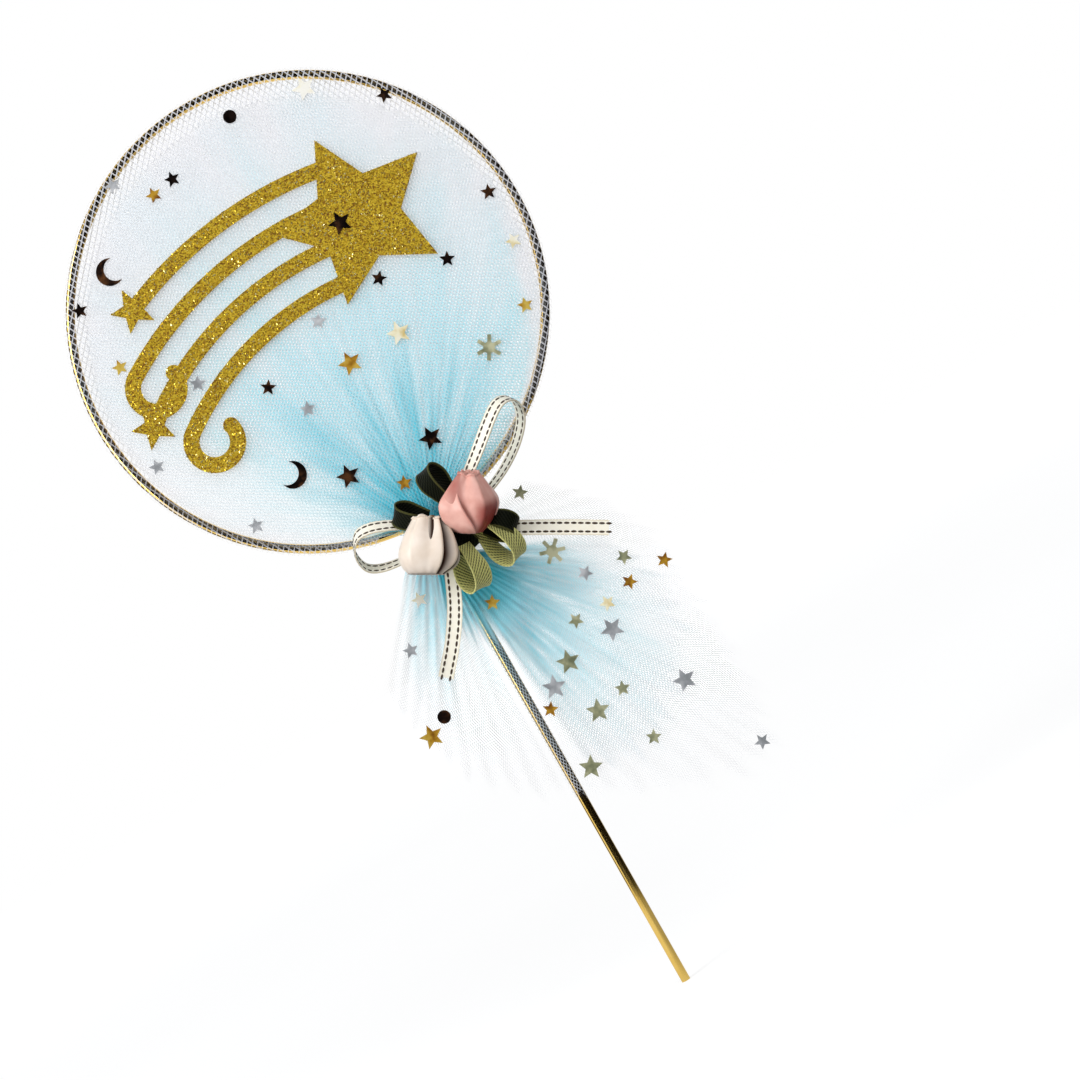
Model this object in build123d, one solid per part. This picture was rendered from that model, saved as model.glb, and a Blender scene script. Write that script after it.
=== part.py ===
from build123d import *
import os
from math import acos, asin, cos, degrees, radians, sin, sqrt

# Everything is drawn as seen from the front: X to the right, Y up, Z towards the viewer.
# The origin is the middle of the stick's lower end. stand() turns the drawing to Z up.

# Wire
WIRE_DIAMETER = 2.2
HOOP_OUTER_DIAMETER = 115.0
STICK_LENGTH = 121.3
STEM_BEND_RADIUS = 5.0
WIRE_END_GAP = 0.6

# Net over the hoop
NET_THICKNESS = 0.25
NET_GAP = 0.12
NECK_TUCK = 0.05
NECK_FLAT = 1.0
NECK_SPREAD = 26.0
SHOULDER_RISE = 7.0
TIE_RISE = 2.2
STAR_NECK_RADIUS = 5.2
STAR_NECK_WALL = 1.8
STAR_NECK_DROP = 3.7
BLUE_NECK_WALL = 1.55
BLUE_NECK_DROP = 2.5
OVERRUN = 10.0

# Hanging ends of the net
STAR_SKIRT_LENGTH = 81.0
STAR_HEM_DEPTH = 9.0
BLUE_SKIRT_LENGTH = 74.0
BLUE_HEM_DEPTH = -6.5
SKIRT_LAP = 1.5
SKIRT_THICKNESS = 0.3
FOLD_DEPTH_SHARE = 0.22
NECK_WALL_MIDDLE_SHARE = 0.5
STAR_ROOT_SHARES = [
    (-0.85, 0.2), (-0.5, -0.05), (-0.1, -0.12), (0.2, -0.12), (0.5, -0.05), (0.85, 0.2), (0.93, 0.36),
]
STAR_HEM_SHARES = [
    (-0.36, -0.27), (-0.28, -0.6), (0.06, -0.88), (0.56, -1.0), (0.62, -0.52), (0.53, -0.16), (0.3, 0.09),
]
STAR_FOLDS = [5, 6, 6, 6, 5, 4]
BLUE_LEFT_ROOT_SHARES = [(-0.8, 0.15), (-0.25, -0.1)]
BLUE_LEFT_HEM_SHARES = [(-0.36, -0.26), (-0.27, -0.61)]
BLUE_LEFT_FOLDS = [4]
BLUE_RIGHT_ROOT_SHARES = [(0.1, -0.1), (0.3, -0.1), (0.5, -0.05), (0.8, 0.15)]
BLUE_RIGHT_HEM_SHARES = [(0.05, -0.86), (0.33, -0.9), (0.62, -0.54), (0.5, -0.15)]
BLUE_RIGHT_FOLDS = [4, 5, 4]

# Foil sequins
FOIL_THICKNESS = 0.15
FOIL_SEAT_GAP = 0.1
STAR_RADIUS = 3.0
SMALL_STAR_RADIUS = 2.0
STAR_WAIST_SHARE = 0.45
STAR_POINTS = 5
SEQUIN_TURN = 137.5
MOON_RADIUS = 3.3
MOON_BITE_RADIUS = 2.8
MOON_BITE_OFFSET = 1.5
DOT_RADIUS = 1.6
FLAKE_RADIUS = 3.1
FLAKE_ARM_WIDTH = 0.9
FLAKE_HUB_RADIUS = 1.4
# Places on the front of the hoop, in shares of its radius
GOLD_SPOT_SHARES = [(0.05, -0.28)]
SMALL_GOLD_SPOT_SHARES = [(-0.32, 0.74), (-0.8, 0.18), (0.81, -0.43), (0.0, -0.83)]
DARK_SPOT_SHARES = [(0.19, -0.72), (-0.19, -0.69)]
SMALL_DARK_SPOT_SHARES = [
    (0.73, 0.63), (-0.22, 0.76), (-0.83, 0.47), (0.91, 0.06), (0.62, -0.1), (-0.3, -0.2), (0.33, -0.03),
]
SMALL_SILVER_SPOT_SHARES = [
    (-0.45, 0.86), (-0.87, -0.26), (-0.63, -0.68), (-0.2, -0.36), (-0.55, -0.04), (0.02, -0.06),
]
PALE_SPOT_SHARES = [(0.45, 0.82), (0.29, -0.27)]
SMALL_PALE_SPOT_SHARES = [(0.9, -0.17)]
MOON_SPOT_SHARES = [(-0.64, 0.55), (-0.39, -0.57)]
DOT_SPOT_SHARES = [(0.12, 0.87)]
FLAKE_SPOT_SHARES = [(0.59, -0.51)]
# Places on the hanging net: panel, ridge in that panel, share of the ridge from the neck
GOLD_RIDGE_SHARES = [(0, 3, 0.93)]
SMALL_GOLD_RIDGE_SHARES = [(4, 2, 0.94), (4, 0, 0.68), (2, 2, 0.21), (2, 0, 0.62)]
SILVER_RIDGE_SHARES = [(3, 2, 0.53), (2, 1, 0.55), (3, 1, 0.74)]
SMALL_SILVER_RIDGE_SHARES = [(3, 0, 0.95), (0, 1, 0.59), (4, 0, 0.51)]
GREEN_RIDGE_SHARES = [(2, 3, 0.48), (2, 2, 0.67), (2, 0, 0.85)]
SMALL_GREEN_RIDGE_SHARES = [(3, 1, 0.4), (2, 4, 0.62), (2, 3, 0.81), (4, 2, 0.76), (5, 3, 0.78)]
SMALL_PALE_RIDGE_SHARES = [(0, 1, 0.27), (3, 4, 0.55)]
DOT_RIDGE_SHARES = [(0, 4, 0.76)]
FLAKE_RIDGE_SHARES = [(4, 2, 0.44)]

# Ornament of glitter card, in shares of the hoop's radius
CARD_THICKNESS = 0.6
CARD_STROKE_SHARE = 0.067
TRAIL_RADIUS_SHARE = 1.49
TRAIL_PITCH_SHARE = 0.16
TRAIL_CENTRE_SHARES = (0.07, -1.22)
TRAIL_HEAD_ANGLE = 12.0
TRAIL_STARTS = [7.0, 0.0, 0.0, 2.0]
TRAIL_ENDS = [48.0, 50.0, 44.0, 36.0]
HEAD_STAR_SHARE = 0.37
HEAD_STAR_WAIST_SHARE = 0.5
END_STAR_SHARE = 0.098
CURL_SHARE = 0.098
CURL_SWEEP = 250.0
CARD_STAR_ANGLE = 3.0

# Ribbon bow
RIBBON_WIDTH = 3.6
RIBBON_THICKNESS = 0.35
BAND_TURNS_THICKNESS = 0.5
BAND_DROP = 0.7
KNOT_RADIUS = 2.3
KNOT_DEPTH = 2.6
KNOT_ACROSS = 3.0
KNOT_ROUNDING = 0.8
BOW_GAP = 0.12
LOOP_LEAN = 40.0
UPPER_LOOP_LENGTH = 32.5
UPPER_LOOP_ROUNDING = 4.6
UPPER_LOOP_ANGLE = 33.6
SIDE_LOOP_LENGTH = 19.5
SIDE_LOOP_ROUNDING = 3.6
SIDE_LOOP_ANGLE = 167.6
SIDE_TAIL_LENGTH = 36.0
SIDE_TAIL_ANGLE = -27.6
LOWER_TAIL_LENGTH = 32.0
LOWER_TAIL_ANGLE = -119.0
TAIL_LIFT = 3.0
TAIL_BOW = 0.8

# Rosebuds and their leaves
LEAF_WIDTH = 5.5
LEAF_THICKNESS = 0.35
LEAF_ROUNDING = 1.7
LEAF_WEB_RADIUS = 3.2
LEAF_DEPTH = 10.1
LEAF_LENGTH = 12.0
BUD_GAP = 0.1
BUD_RADIUS = 7.0
BUD_BASE_RADIUS = 2.5
BUD_BASE_HEIGHT = 4.2
HEAD_SINK = 0.8
PETAL_RISE = 8.0
PETAL_THICKNESS = 0.7
PETAL_COUNT = 5
PETAL_SWEEP = 225.0
PETAL_TURN = 137.5
PETAL_FOOT_SHARE = 0.75
PETAL_BELLY_SHARE = 0.55
PETAL_LIP_SHARE = 0.9
PETAL_FIRST_SHARE = 0.34
CORE_SHARE = 0.18
INNER_RISE_SHARE = 0.8
CREAM_BUD_OFFSET = (-4.0, -1.8)
CREAM_LEAF_ANGLES = [105.0, -72.0]
CREAM_BUD_LEAN = (6.0, -14.0)
PINK_BUD_OFFSET = (7.2, 3.4)
PINK_LEAF_ANGLES = [112.0, -70.0]
PINK_BUD_LEAN = (-8.0, 10.0)

# Worked out from the sizes above
WIRE_RADIUS = WIRE_DIAMETER / 2
HOOP_RADIUS = (HOOP_OUTER_DIAMETER - WIRE_DIAMETER) / 2
BEND_TURN = degrees(acos(STEM_BEND_RADIUS / (HOOP_RADIUS + STEM_BEND_RADIUS)))
HOOP_CENTRE_HEIGHT = STICK_LENGTH + (HOOP_RADIUS + STEM_BEND_RADIUS) * sin(radians(BEND_TURN))
SHOULDER_HEIGHT = HOOP_CENTRE_HEIGHT - HOOP_RADIUS + SHOULDER_RISE
TIE_TOP_HEIGHT = STICK_LENGTH + TIE_RISE
BAND_HEIGHT = TIE_TOP_HEIGHT - BAND_DROP - RIBBON_WIDTH
STAR_NECK_HEIGHT = BAND_HEIGHT - STAR_NECK_DROP
BLUE_NECK_HEIGHT = STAR_NECK_HEIGHT - BLUE_NECK_DROP
STAR_SKIRT_TOP = STAR_NECK_HEIGHT + SKIRT_LAP
BLUE_SKIRT_TOP = BLUE_NECK_HEIGHT + SKIRT_LAP
BLUE_INNER_REACH = WIRE_RADIUS + NET_GAP
BLUE_OUTER_REACH = BLUE_INNER_REACH + NET_THICKNESS
STAR_INNER_REACH = BLUE_OUTER_REACH + NET_GAP
STAR_OUTER_REACH = STAR_INNER_REACH + NET_THICKNESS
STAR_BORE_RADIUS = STAR_NECK_RADIUS - STAR_NECK_WALL
BLUE_NECK_RADIUS = STAR_BORE_RADIUS - NET_GAP
BLUE_BORE_RADIUS = BLUE_NECK_RADIUS - BLUE_NECK_WALL
STAR_ROOT_DEPTH = STAR_NECK_RADIUS - STAR_NECK_WALL * NECK_WALL_MIDDLE_SHARE
BLUE_ROOT_DEPTH = BLUE_NECK_WALL * NECK_WALL_MIDDLE_SHARE - BLUE_NECK_RADIUS
BAND_INNER_RADIUS = STAR_NECK_RADIUS + BOW_GAP
BAND_OUTER_RADIUS = BAND_INNER_RADIUS + BAND_TURNS_THICKNESS
KNOT_BACK = BAND_OUTER_RADIUS + BOW_GAP
KNOT_HEIGHT = BAND_HEIGHT + RIBBON_WIDTH / 2
KNOT_MIDDLE = KNOT_BACK + KNOT_DEPTH / 2
BOW_ROOT = KNOT_RADIUS + BOW_GAP
BUD_DEPTH = LEAF_DEPTH + LEAF_THICKNESS + BUD_GAP
CREAM_BUD_PLACE = (KNOT_ACROSS + CREAM_BUD_OFFSET[0], KNOT_HEIGHT + CREAM_BUD_OFFSET[1])
PINK_BUD_PLACE = (KNOT_ACROSS + PINK_BUD_OFFSET[0], KNOT_HEIGHT + PINK_BUD_OFFSET[1])
CARD_STROKE = HOOP_RADIUS * CARD_STROKE_SHARE
TRAIL_RADIUS = HOOP_RADIUS * TRAIL_RADIUS_SHARE
TRAIL_PITCH = HOOP_RADIUS * TRAIL_PITCH_SHARE
TRAIL_ACROSS = HOOP_RADIUS * TRAIL_CENTRE_SHARES[0]
TRAIL_HEIGHT = HOOP_CENTRE_HEIGHT + HOOP_RADIUS * TRAIL_CENTRE_SHARES[1]
HEAD_STAR_RADIUS = HOOP_RADIUS * HEAD_STAR_SHARE
END_STAR_RADIUS = HOOP_RADIUS * END_STAR_SHARE
CURL_RADIUS = HOOP_RADIUS * CURL_SHARE


def stand(shape):
    """Turn a piece drawn in the front view so that up is Z and the front faces minus Y."""
    return Rot(90, 0, 0) * shape


def level(height):
    """A level plane at a height, with X to the right and its normal up."""
    return Plane(origin=(0, height, 0), x_dir=(1, 0, 0), z_dir=(0, 1, 0))


def between(start, end, share):
    """The point at a share of the way from start to end."""
    return Vector(*start) + (Vector(*end) - Vector(*start)) * share


def star(radius, waist_share):
    """A five-pointed star with one point up."""
    step = 180 / STAR_POINTS
    corners = []
    for corner in range(2 * STAR_POINTS):
        reach = radius if corner % 2 == 0 else radius * waist_share
        turn = radians(90 + corner * step)
        corners.append((reach * cos(turn), reach * sin(turn)))
    return make_face(Polyline(*corners, close=True))


def hoop_and_stick():
    """One wire: the stick, a bend at its top and the hoop, whose end comes back to the bend."""
    stick = extrude(level(0) * Circle(WIRE_RADIUS), STICK_LENGTH)
    bend_axis = Axis((STEM_BEND_RADIUS, STICK_LENGTH, 0), (0, 0, -1))
    bend = revolve(level(STICK_LENGTH) * Circle(WIRE_RADIUS), bend_axis, BEND_TURN)
    outward = Vector(cos(radians(BEND_TURN)), -sin(radians(BEND_TURN)), 0)
    hoop_axis = Axis((0, HOOP_CENTRE_HEIGHT, 0), (0, 0, 1))
    foot = Vector(0, HOOP_CENTRE_HEIGHT, 0) + outward * HOOP_RADIUS
    section = Plane(origin=foot, x_dir=outward, z_dir=hoop_axis.direction.cross(outward))
    end_turn = degrees(asin(WIRE_END_GAP / HOOP_RADIUS))
    hoop = revolve(section * Circle(WIRE_RADIUS), hoop_axis, 270 + BEND_TURN - end_turn)
    return stick + bend + hoop


def pouch(reach):
    """All that lies within a reach of the hoop's disc."""
    side = Plane(origin=(0, HOOP_CENTRE_HEIGHT, 0), x_dir=(1, 0, 0), z_dir=(0, -1, 0))
    back = Line((0, -reach), (HOOP_RADIUS, -reach))
    back_rim = RadiusArc(back @ 1, (HOOP_RADIUS + reach, 0), -reach)
    front_rim = RadiusArc(back_rim @ 1, (HOOP_RADIUS, reach), -reach)
    front = Line(front_rim @ 1, (0, reach))
    profile = make_face([back, back_rim, front_rim, front, Line(front @ 1, back @ 0)])
    return revolve(side * profile, Axis((0, HOOP_CENTRE_HEIGHT, 0), (0, 0, 1)), 360)


def neck(radius, reach, bottom):
    """The gathered neck: flat where it leaves the hoop, round where it is tied."""
    shoulder = level(SHOULDER_HEIGHT) * SlotCenterToCenter(NECK_SPREAD, 2 * (reach - NECK_TUCK))
    tie = SlotCenterToCenter(NECK_FLAT, 2 * radius)
    taper = loft([level(TIE_TOP_HEIGHT) * tie, shoulder], ruled=True)
    return taper + extrude(level(bottom) * tie, TIE_TOP_HEIGHT - bottom)


def wrapped_net(radius, bore, outer_reach, inner_reach, bottom):
    """One layer of net over both faces of the hoop and round the neck."""
    outside = pouch(outer_reach) + neck(radius, outer_reach, bottom)
    inside = pouch(inner_reach) + neck(bore, inner_reach, bottom - OVERRUN)
    return outside - inside


def pleated_strip(start, end, folds):
    """A pleated band of cloth cut across: half waves of arcs from start to end."""
    count = 2 * folds
    chord = (Vector(*end) - Vector(*start)).length / count
    sagitta = chord * FOLD_DEPTH_SHARE
    faces = [[], []]
    for half in range(count):
        bulge = Vector(0, 0, sagitta if half % 2 == 0 else -sagitta)
        ends = [between(start, end, half / count), between(start, end, (half + 1) / count)]
        middle = between(start, end, (half + 0.5) / count) + bulge
        for side in range(2):
            lift = Vector(0, 0, side * SKIRT_THICKNESS)
            faces[side].append(ThreePointArc(ends[0] + lift, middle + lift, ends[1] + lift))
    closing = [Line(faces[0][0] @ 0, faces[1][0] @ 0), Line(faces[0][-1] @ 1, faces[1][-1] @ 1)]
    return Face(Wire(faces[0] + faces[1] + closing))


def placed_points(shares, size, height, depth):
    """Outline points as shares of a size, from a point on the stick's axis."""
    return [(across * size, height + up * size, depth) for across, up in shares]


STAR_ROOTS = placed_points(STAR_ROOT_SHARES, STAR_NECK_RADIUS, STAR_SKIRT_TOP, STAR_ROOT_DEPTH)
STAR_HEMS = placed_points(STAR_HEM_SHARES, STAR_SKIRT_LENGTH, STAR_SKIRT_TOP, STAR_HEM_DEPTH)


def hanging_panels(roots, hems, folds):
    """Pleated panels side by side, each from a short stretch of the neck to a stretch of the hem."""
    panels = []
    for panel in range(len(folds)):
        root = pleated_strip(roots[panel], roots[panel + 1], folds[panel])
        hem = pleated_strip(hems[panel], hems[panel + 1], folds[panel])
        panels.append(loft([root, hem], ruled=True))
    return panels


def star_tulle():
    """The outer net, with its hanging end in front of the stick."""
    net = wrapped_net(
        STAR_NECK_RADIUS, STAR_BORE_RADIUS, STAR_OUTER_REACH, STAR_INNER_REACH, STAR_NECK_HEIGHT
    )
    for panel in hanging_panels(STAR_ROOTS, STAR_HEMS, STAR_FOLDS):
        net = net + panel
    return net


def blue_tulle():
    """The inner net, with a hanging end on each side behind the stick."""
    net = wrapped_net(
        BLUE_NECK_RADIUS, BLUE_BORE_RADIUS, BLUE_OUTER_REACH, BLUE_INNER_REACH, BLUE_NECK_HEIGHT
    )
    sides = [
        (BLUE_LEFT_ROOT_SHARES, BLUE_LEFT_HEM_SHARES, BLUE_LEFT_FOLDS),
        (BLUE_RIGHT_ROOT_SHARES, BLUE_RIGHT_HEM_SHARES, BLUE_RIGHT_FOLDS),
    ]
    for root_shares, hem_shares, folds in sides:
        roots = placed_points(root_shares, BLUE_NECK_RADIUS, BLUE_SKIRT_TOP, BLUE_ROOT_DEPTH)
        hems = placed_points(hem_shares, BLUE_SKIRT_LENGTH, BLUE_SKIRT_TOP, BLUE_HEM_DEPTH)
        for panel in hanging_panels(roots, hems, folds):
            net = net + panel
    return net


def ridge_plane(panel, fold, share):
    """The plane that lies on a forward ridge of the outer net's hanging end."""
    count = 2 * STAR_FOLDS[panel]
    at = (2 * fold + 0.5) / count
    tops = []
    for line in (STAR_ROOTS, STAR_HEMS):
        chord = (Vector(*line[panel + 1]) - Vector(*line[panel])).length / count
        front = Vector(0, 0, chord * FOLD_DEPTH_SHARE + SKIRT_THICKNESS)
        tops.append(between(line[panel], line[panel + 1], at) + front)
    along = (tops[1] - tops[0]).normalized()
    across = Vector(*STAR_HEMS[panel + 1]) - Vector(*STAR_HEMS[panel])
    facing = across.cross(along)
    if facing.Z < 0:
        facing = -facing
    facing = facing.normalized()
    spot = tops[0] + (tops[1] - tops[0]) * share + facing * FOIL_SEAT_GAP
    return Plane(origin=spot, x_dir=across.normalized(), z_dir=facing)


def sequins(outline, spot_shares, ridge_shares):
    """Flat foil pieces of one kind, on the front of the hoop and on the hanging net."""
    pieces = []
    for number, (across, up) in enumerate(spot_shares):
        place = Pos(across * HOOP_RADIUS, HOOP_CENTRE_HEIGHT + up * HOOP_RADIUS, STAR_OUTER_REACH)
        pieces.append(place * Rot(0, 0, number * SEQUIN_TURN) * extrude(outline, FOIL_THICKNESS))
    for number, (panel, fold, share) in enumerate(ridge_shares):
        seat = ridge_plane(panel, fold, share)
        pieces.append(seat * Rot(0, 0, number * SEQUIN_TURN) * extrude(outline, FOIL_THICKNESS))
    return pieces


def star_sequins(spot_shares, ridge_shares, small_spot_shares, small_ridge_shares):
    """Foil stars of one colour, in both sizes."""
    large = sequins(star(STAR_RADIUS, STAR_WAIST_SHARE), spot_shares, ridge_shares)
    small = sequins(star(SMALL_STAR_RADIUS, STAR_WAIST_SHARE), small_spot_shares, small_ridge_shares)
    return Compound(children=large + small)


def moon():
    """A crescent."""
    return Circle(MOON_RADIUS) - Pos(MOON_BITE_OFFSET, 0) * Circle(MOON_BITE_RADIUS)


def snowflake():
    """Six arms with a round hub."""
    arms = Circle(FLAKE_HUB_RADIUS)
    for arm in range(3):
        arms = arms + Rot(0, 0, arm * 60) * Rectangle(2 * FLAKE_RADIUS, FLAKE_ARM_WIDTH)
    return arms


def trail_radius(trail):
    """The radius of one of the ornament's trails, which lie evenly about the middle of its star."""
    return TRAIL_RADIUS + (trail - (len(TRAIL_ENDS) - 1) / 2) * TRAIL_PITCH


def on_trail(radius, angle):
    """A point of the ornament at a radius and an angle to the left of its star."""
    turn = radians(TRAIL_HEAD_ANGLE - angle)
    across = TRAIL_ACROSS + radius * sin(turn)
    return Pos(across, TRAIL_HEIGHT + radius * cos(turn), STAR_OUTER_REACH)


def ornament_card():
    """A shooting star of card: a large star and curved trails that end in small stars and curls."""
    card = on_trail(TRAIL_RADIUS, 0) * star(HEAD_STAR_RADIUS, HEAD_STAR_WAIST_SHARE)
    for trail, (start, end) in enumerate(zip(TRAIL_STARTS, TRAIL_ENDS)):
        radius = trail_radius(trail)
        arc = CenterArc((TRAIL_ACROSS, TRAIL_HEIGHT), radius, 90 - TRAIL_HEAD_ANGLE + start, end - start)
        card = card + Pos(0, 0, STAR_OUTER_REACH) * SlotArc(arc, CARD_STROKE)
        tip = on_trail(radius, end)
        if trail % 2 == 0:
            curl = CenterArc((0, -CURL_RADIUS), CURL_RADIUS, 90, CURL_SWEEP)
            card = card + tip * Rot(0, 0, end - TRAIL_HEAD_ANGLE) * SlotArc(curl, CARD_STROKE)
        else:
            card = card + tip * star(END_STAR_RADIUS, STAR_WAIST_SHARE)
    return extrude(card, CARD_THICKNESS)


def card_star():
    """The foil star that lies on the ornament's large star."""
    seat = on_trail(TRAIL_RADIUS, CARD_STAR_ANGLE) * Pos(0, 0, CARD_THICKNESS)
    return seat * extrude(star(STAR_RADIUS, STAR_WAIST_SHARE), FOIL_THICKNESS)


def neck_band():
    """Two turns of ribbon round the gathered net."""
    ring = SlotCenterToCenter(NECK_FLAT, 2 * BAND_OUTER_RADIUS) - SlotCenterToCenter(
        NECK_FLAT, 2 * BAND_INNER_RADIUS
    )
    return extrude(level(BAND_HEIGHT) * ring, RIBBON_WIDTH)


def bow_knot():
    """The knot of the bow, a rounded button."""
    knot = Pos(KNOT_ACROSS, KNOT_HEIGHT, KNOT_BACK) * extrude(Circle(KNOT_RADIUS), KNOT_DEPTH)
    return fillet(knot.edges(), KNOT_ROUNDING)


def glue_dab():
    """Glue from the knot to the ribbon under the cream bud."""
    front = KNOT_BACK + KNOT_DEPTH
    dab = Pos(KNOT_ACROSS, KNOT_HEIGHT, front) * Circle(KNOT_RADIUS - KNOT_ROUNDING)
    return extrude(dab, LEAF_DEPTH - front)


def teardrop(centre, rounding, corner):
    """A drop lying along X: a corner at one end and a round end about the centre."""
    lean = asin(rounding / (centre - corner))
    top = (centre - rounding * sin(lean), rounding * cos(lean))
    bottom = (top[0], -top[1])
    outer_end = ThreePointArc(bottom, (centre + rounding, 0), top)
    return make_face([Line((corner, 0), bottom), outer_end, Line(top, (corner, 0))])


def ribbon_loop(length, rounding, thickness, width):
    """A loop of ribbon that starts at the origin and lies along X, with its width along Y."""
    centre = length - rounding
    inner = rounding - thickness
    inner_corner = centre - inner * centre / rounding
    ring = teardrop(centre, rounding, 0) - teardrop(centre, inner, inner_corner)
    return extrude(Plane.XZ * ring, width / 2, both=True)


def bow_place(angle):
    """The place where a loop or tail leaves the knot, with X along it."""
    return Pos(KNOT_ACROSS, KNOT_HEIGHT, KNOT_MIDDLE) * Rot(0, 0, angle) * Pos(BOW_ROOT, 0, 0)


def bow_loop(length, rounding, angle):
    """One loop of the bow, leaning so that its face and its opening both show."""
    loop = ribbon_loop(length, rounding, RIBBON_THICKNESS, RIBBON_WIDTH)
    return bow_place(angle) * Rot(LOOP_LEAN, 0, 0) * loop


def bow_tail(length, angle):
    """One tail of the bow, a flat strip that arches off the net and is cut square."""
    lower = ThreePointArc((0, 0), (length / 2, TAIL_LIFT / 2 + TAIL_BOW), (length, TAIL_LIFT))
    upper = Pos(0, RIBBON_THICKNESS) * lower
    strip = make_face([lower, Line(lower @ 1, upper @ 1), upper, Line(upper @ 0, lower @ 0)])
    return bow_place(angle) * extrude(Plane.XZ * strip, RIBBON_WIDTH / 2, both=True)


def bud_leaves(place, angles):
    """Green ribbon under a bud: a round web and a loop on each side of it."""
    rise = degrees(asin(LEAF_ROUNDING / (LEAF_LENGTH - LEAF_ROUNDING)))
    loop = Rot(0, -rise, 0) * ribbon_loop(LEAF_LENGTH, LEAF_ROUNDING, LEAF_THICKNESS, LEAF_WIDTH)
    leaves = extrude(Circle(LEAF_WEB_RADIUS), LEAF_THICKNESS)
    for angle in angles:
        leaves = leaves + Rot(0, 0, angle) * Pos(BUD_BASE_RADIUS, 0, 0) * loop
    return Pos(place[0], place[1], LEAF_DEPTH) * leaves


def petal_profile(radius, lip_height):
    """Half section of a rolled ribbon petal: narrow foot, full belly and a lip drawn in."""
    foot = BUD_BASE_RADIUS * PETAL_FOOT_SHARE
    lip = radius * PETAL_LIP_SHARE
    belly = lip_height * PETAL_BELLY_SHARE
    outer = ThreePointArc((foot, 0), (radius, belly), (lip, lip_height))
    inner = ThreePointArc(
        (lip - PETAL_THICKNESS, lip_height),
        (radius - PETAL_THICKNESS, belly),
        (foot - PETAL_THICKNESS, 0),
    )
    return make_face([outer, Line(outer @ 1, inner @ 0), inner, Line(inner @ 1, outer @ 0)])


def rosebud(place, lean):
    """A bud rolled from ribbon: a base, a core and petals that overlap as they go round."""
    upright = Axis((0, 0, 0), (0, 0, 1))
    base = extrude(Circle(BUD_BASE_RADIUS), BUD_BASE_HEIGHT)
    inner_lip = INNER_RISE_SHARE * PETAL_RISE
    head = extrude(Circle(BUD_RADIUS * CORE_SHARE), inner_lip)
    for petal in range(PETAL_COUNT):
        outward = petal / (PETAL_COUNT - 1)
        radius = BUD_RADIUS * (PETAL_FIRST_SHARE + (1 - PETAL_FIRST_SHARE) * outward)
        lip_height = inner_lip + (PETAL_RISE - inner_lip) * outward
        wrap = revolve(Plane.XZ * petal_profile(radius, lip_height), upright, PETAL_SWEEP)
        head = head + Rot(0, 0, petal * PETAL_TURN) * wrap
    bud = base + Pos(0, 0, BUD_BASE_HEIGHT - HEAD_SINK) * Rot(lean[0], lean[1], 0) * head
    return Pos(place[0], place[1], BUD_DEPTH) * bud


PARTS = {
    "hoop_and_stick": hoop_and_stick(),
    "blue_tulle": blue_tulle(),
    "star_tulle": star_tulle(),
    "ornament_card": ornament_card(),
    "card_star": card_star(),
    "gold_stars": star_sequins(
        GOLD_SPOT_SHARES, GOLD_RIDGE_SHARES, SMALL_GOLD_SPOT_SHARES, SMALL_GOLD_RIDGE_SHARES
    ),
    "dark_stars": star_sequins(DARK_SPOT_SHARES, [], SMALL_DARK_SPOT_SHARES, []),
    "silver_stars": star_sequins(
        [], SILVER_RIDGE_SHARES, SMALL_SILVER_SPOT_SHARES, SMALL_SILVER_RIDGE_SHARES
    ),
    "pale_stars": star_sequins(PALE_SPOT_SHARES, [], SMALL_PALE_SPOT_SHARES, SMALL_PALE_RIDGE_SHARES),
    "green_stars": star_sequins([], GREEN_RIDGE_SHARES, [], SMALL_GREEN_RIDGE_SHARES),
    "foil_moons": Compound(children=sequins(moon(), MOON_SPOT_SHARES, [])),
    "foil_dots": Compound(children=sequins(Circle(DOT_RADIUS), DOT_SPOT_SHARES, DOT_RIDGE_SHARES)),
    "foil_snowflakes": Compound(children=sequins(snowflake(), FLAKE_SPOT_SHARES, FLAKE_RIDGE_SHARES)),
    "neck_band": neck_band(),
    "bow_knot": bow_knot(),
    "bow_loop_upper": bow_loop(UPPER_LOOP_LENGTH, UPPER_LOOP_ROUNDING, UPPER_LOOP_ANGLE),
    "bow_loop_side": bow_loop(SIDE_LOOP_LENGTH, SIDE_LOOP_ROUNDING, SIDE_LOOP_ANGLE),
    "bow_tail_side": bow_tail(SIDE_TAIL_LENGTH, SIDE_TAIL_ANGLE),
    "bow_tail_lower": bow_tail(LOWER_TAIL_LENGTH, LOWER_TAIL_ANGLE),
    "glue_dab": glue_dab(),
    "cream_bud_leaves": bud_leaves(CREAM_BUD_PLACE, CREAM_LEAF_ANGLES),
    "pink_bud_leaves": bud_leaves(PINK_BUD_PLACE, PINK_LEAF_ANGLES),
    "cream_rosebud": rosebud(CREAM_BUD_PLACE, CREAM_BUD_LEAN),
    "pink_rosebud": rosebud(PINK_BUD_PLACE, PINK_BUD_LEAN),
}

os.makedirs("parts", exist_ok=True)
for name, shape in PARTS.items():
    export_step(stand(shape), f"parts/{name}.step")
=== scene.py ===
"""Cake topper: a gold wire hoop on a stick, wrapped in net, with a ribbon bow, rolled rosebuds and foil stars."""

import logging
import math
from dataclasses import dataclass
from enum import Enum
from typing import Iterable, Sequence

import bmesh
import bpy
import numpy as np
from mathutils import Matrix


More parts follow.
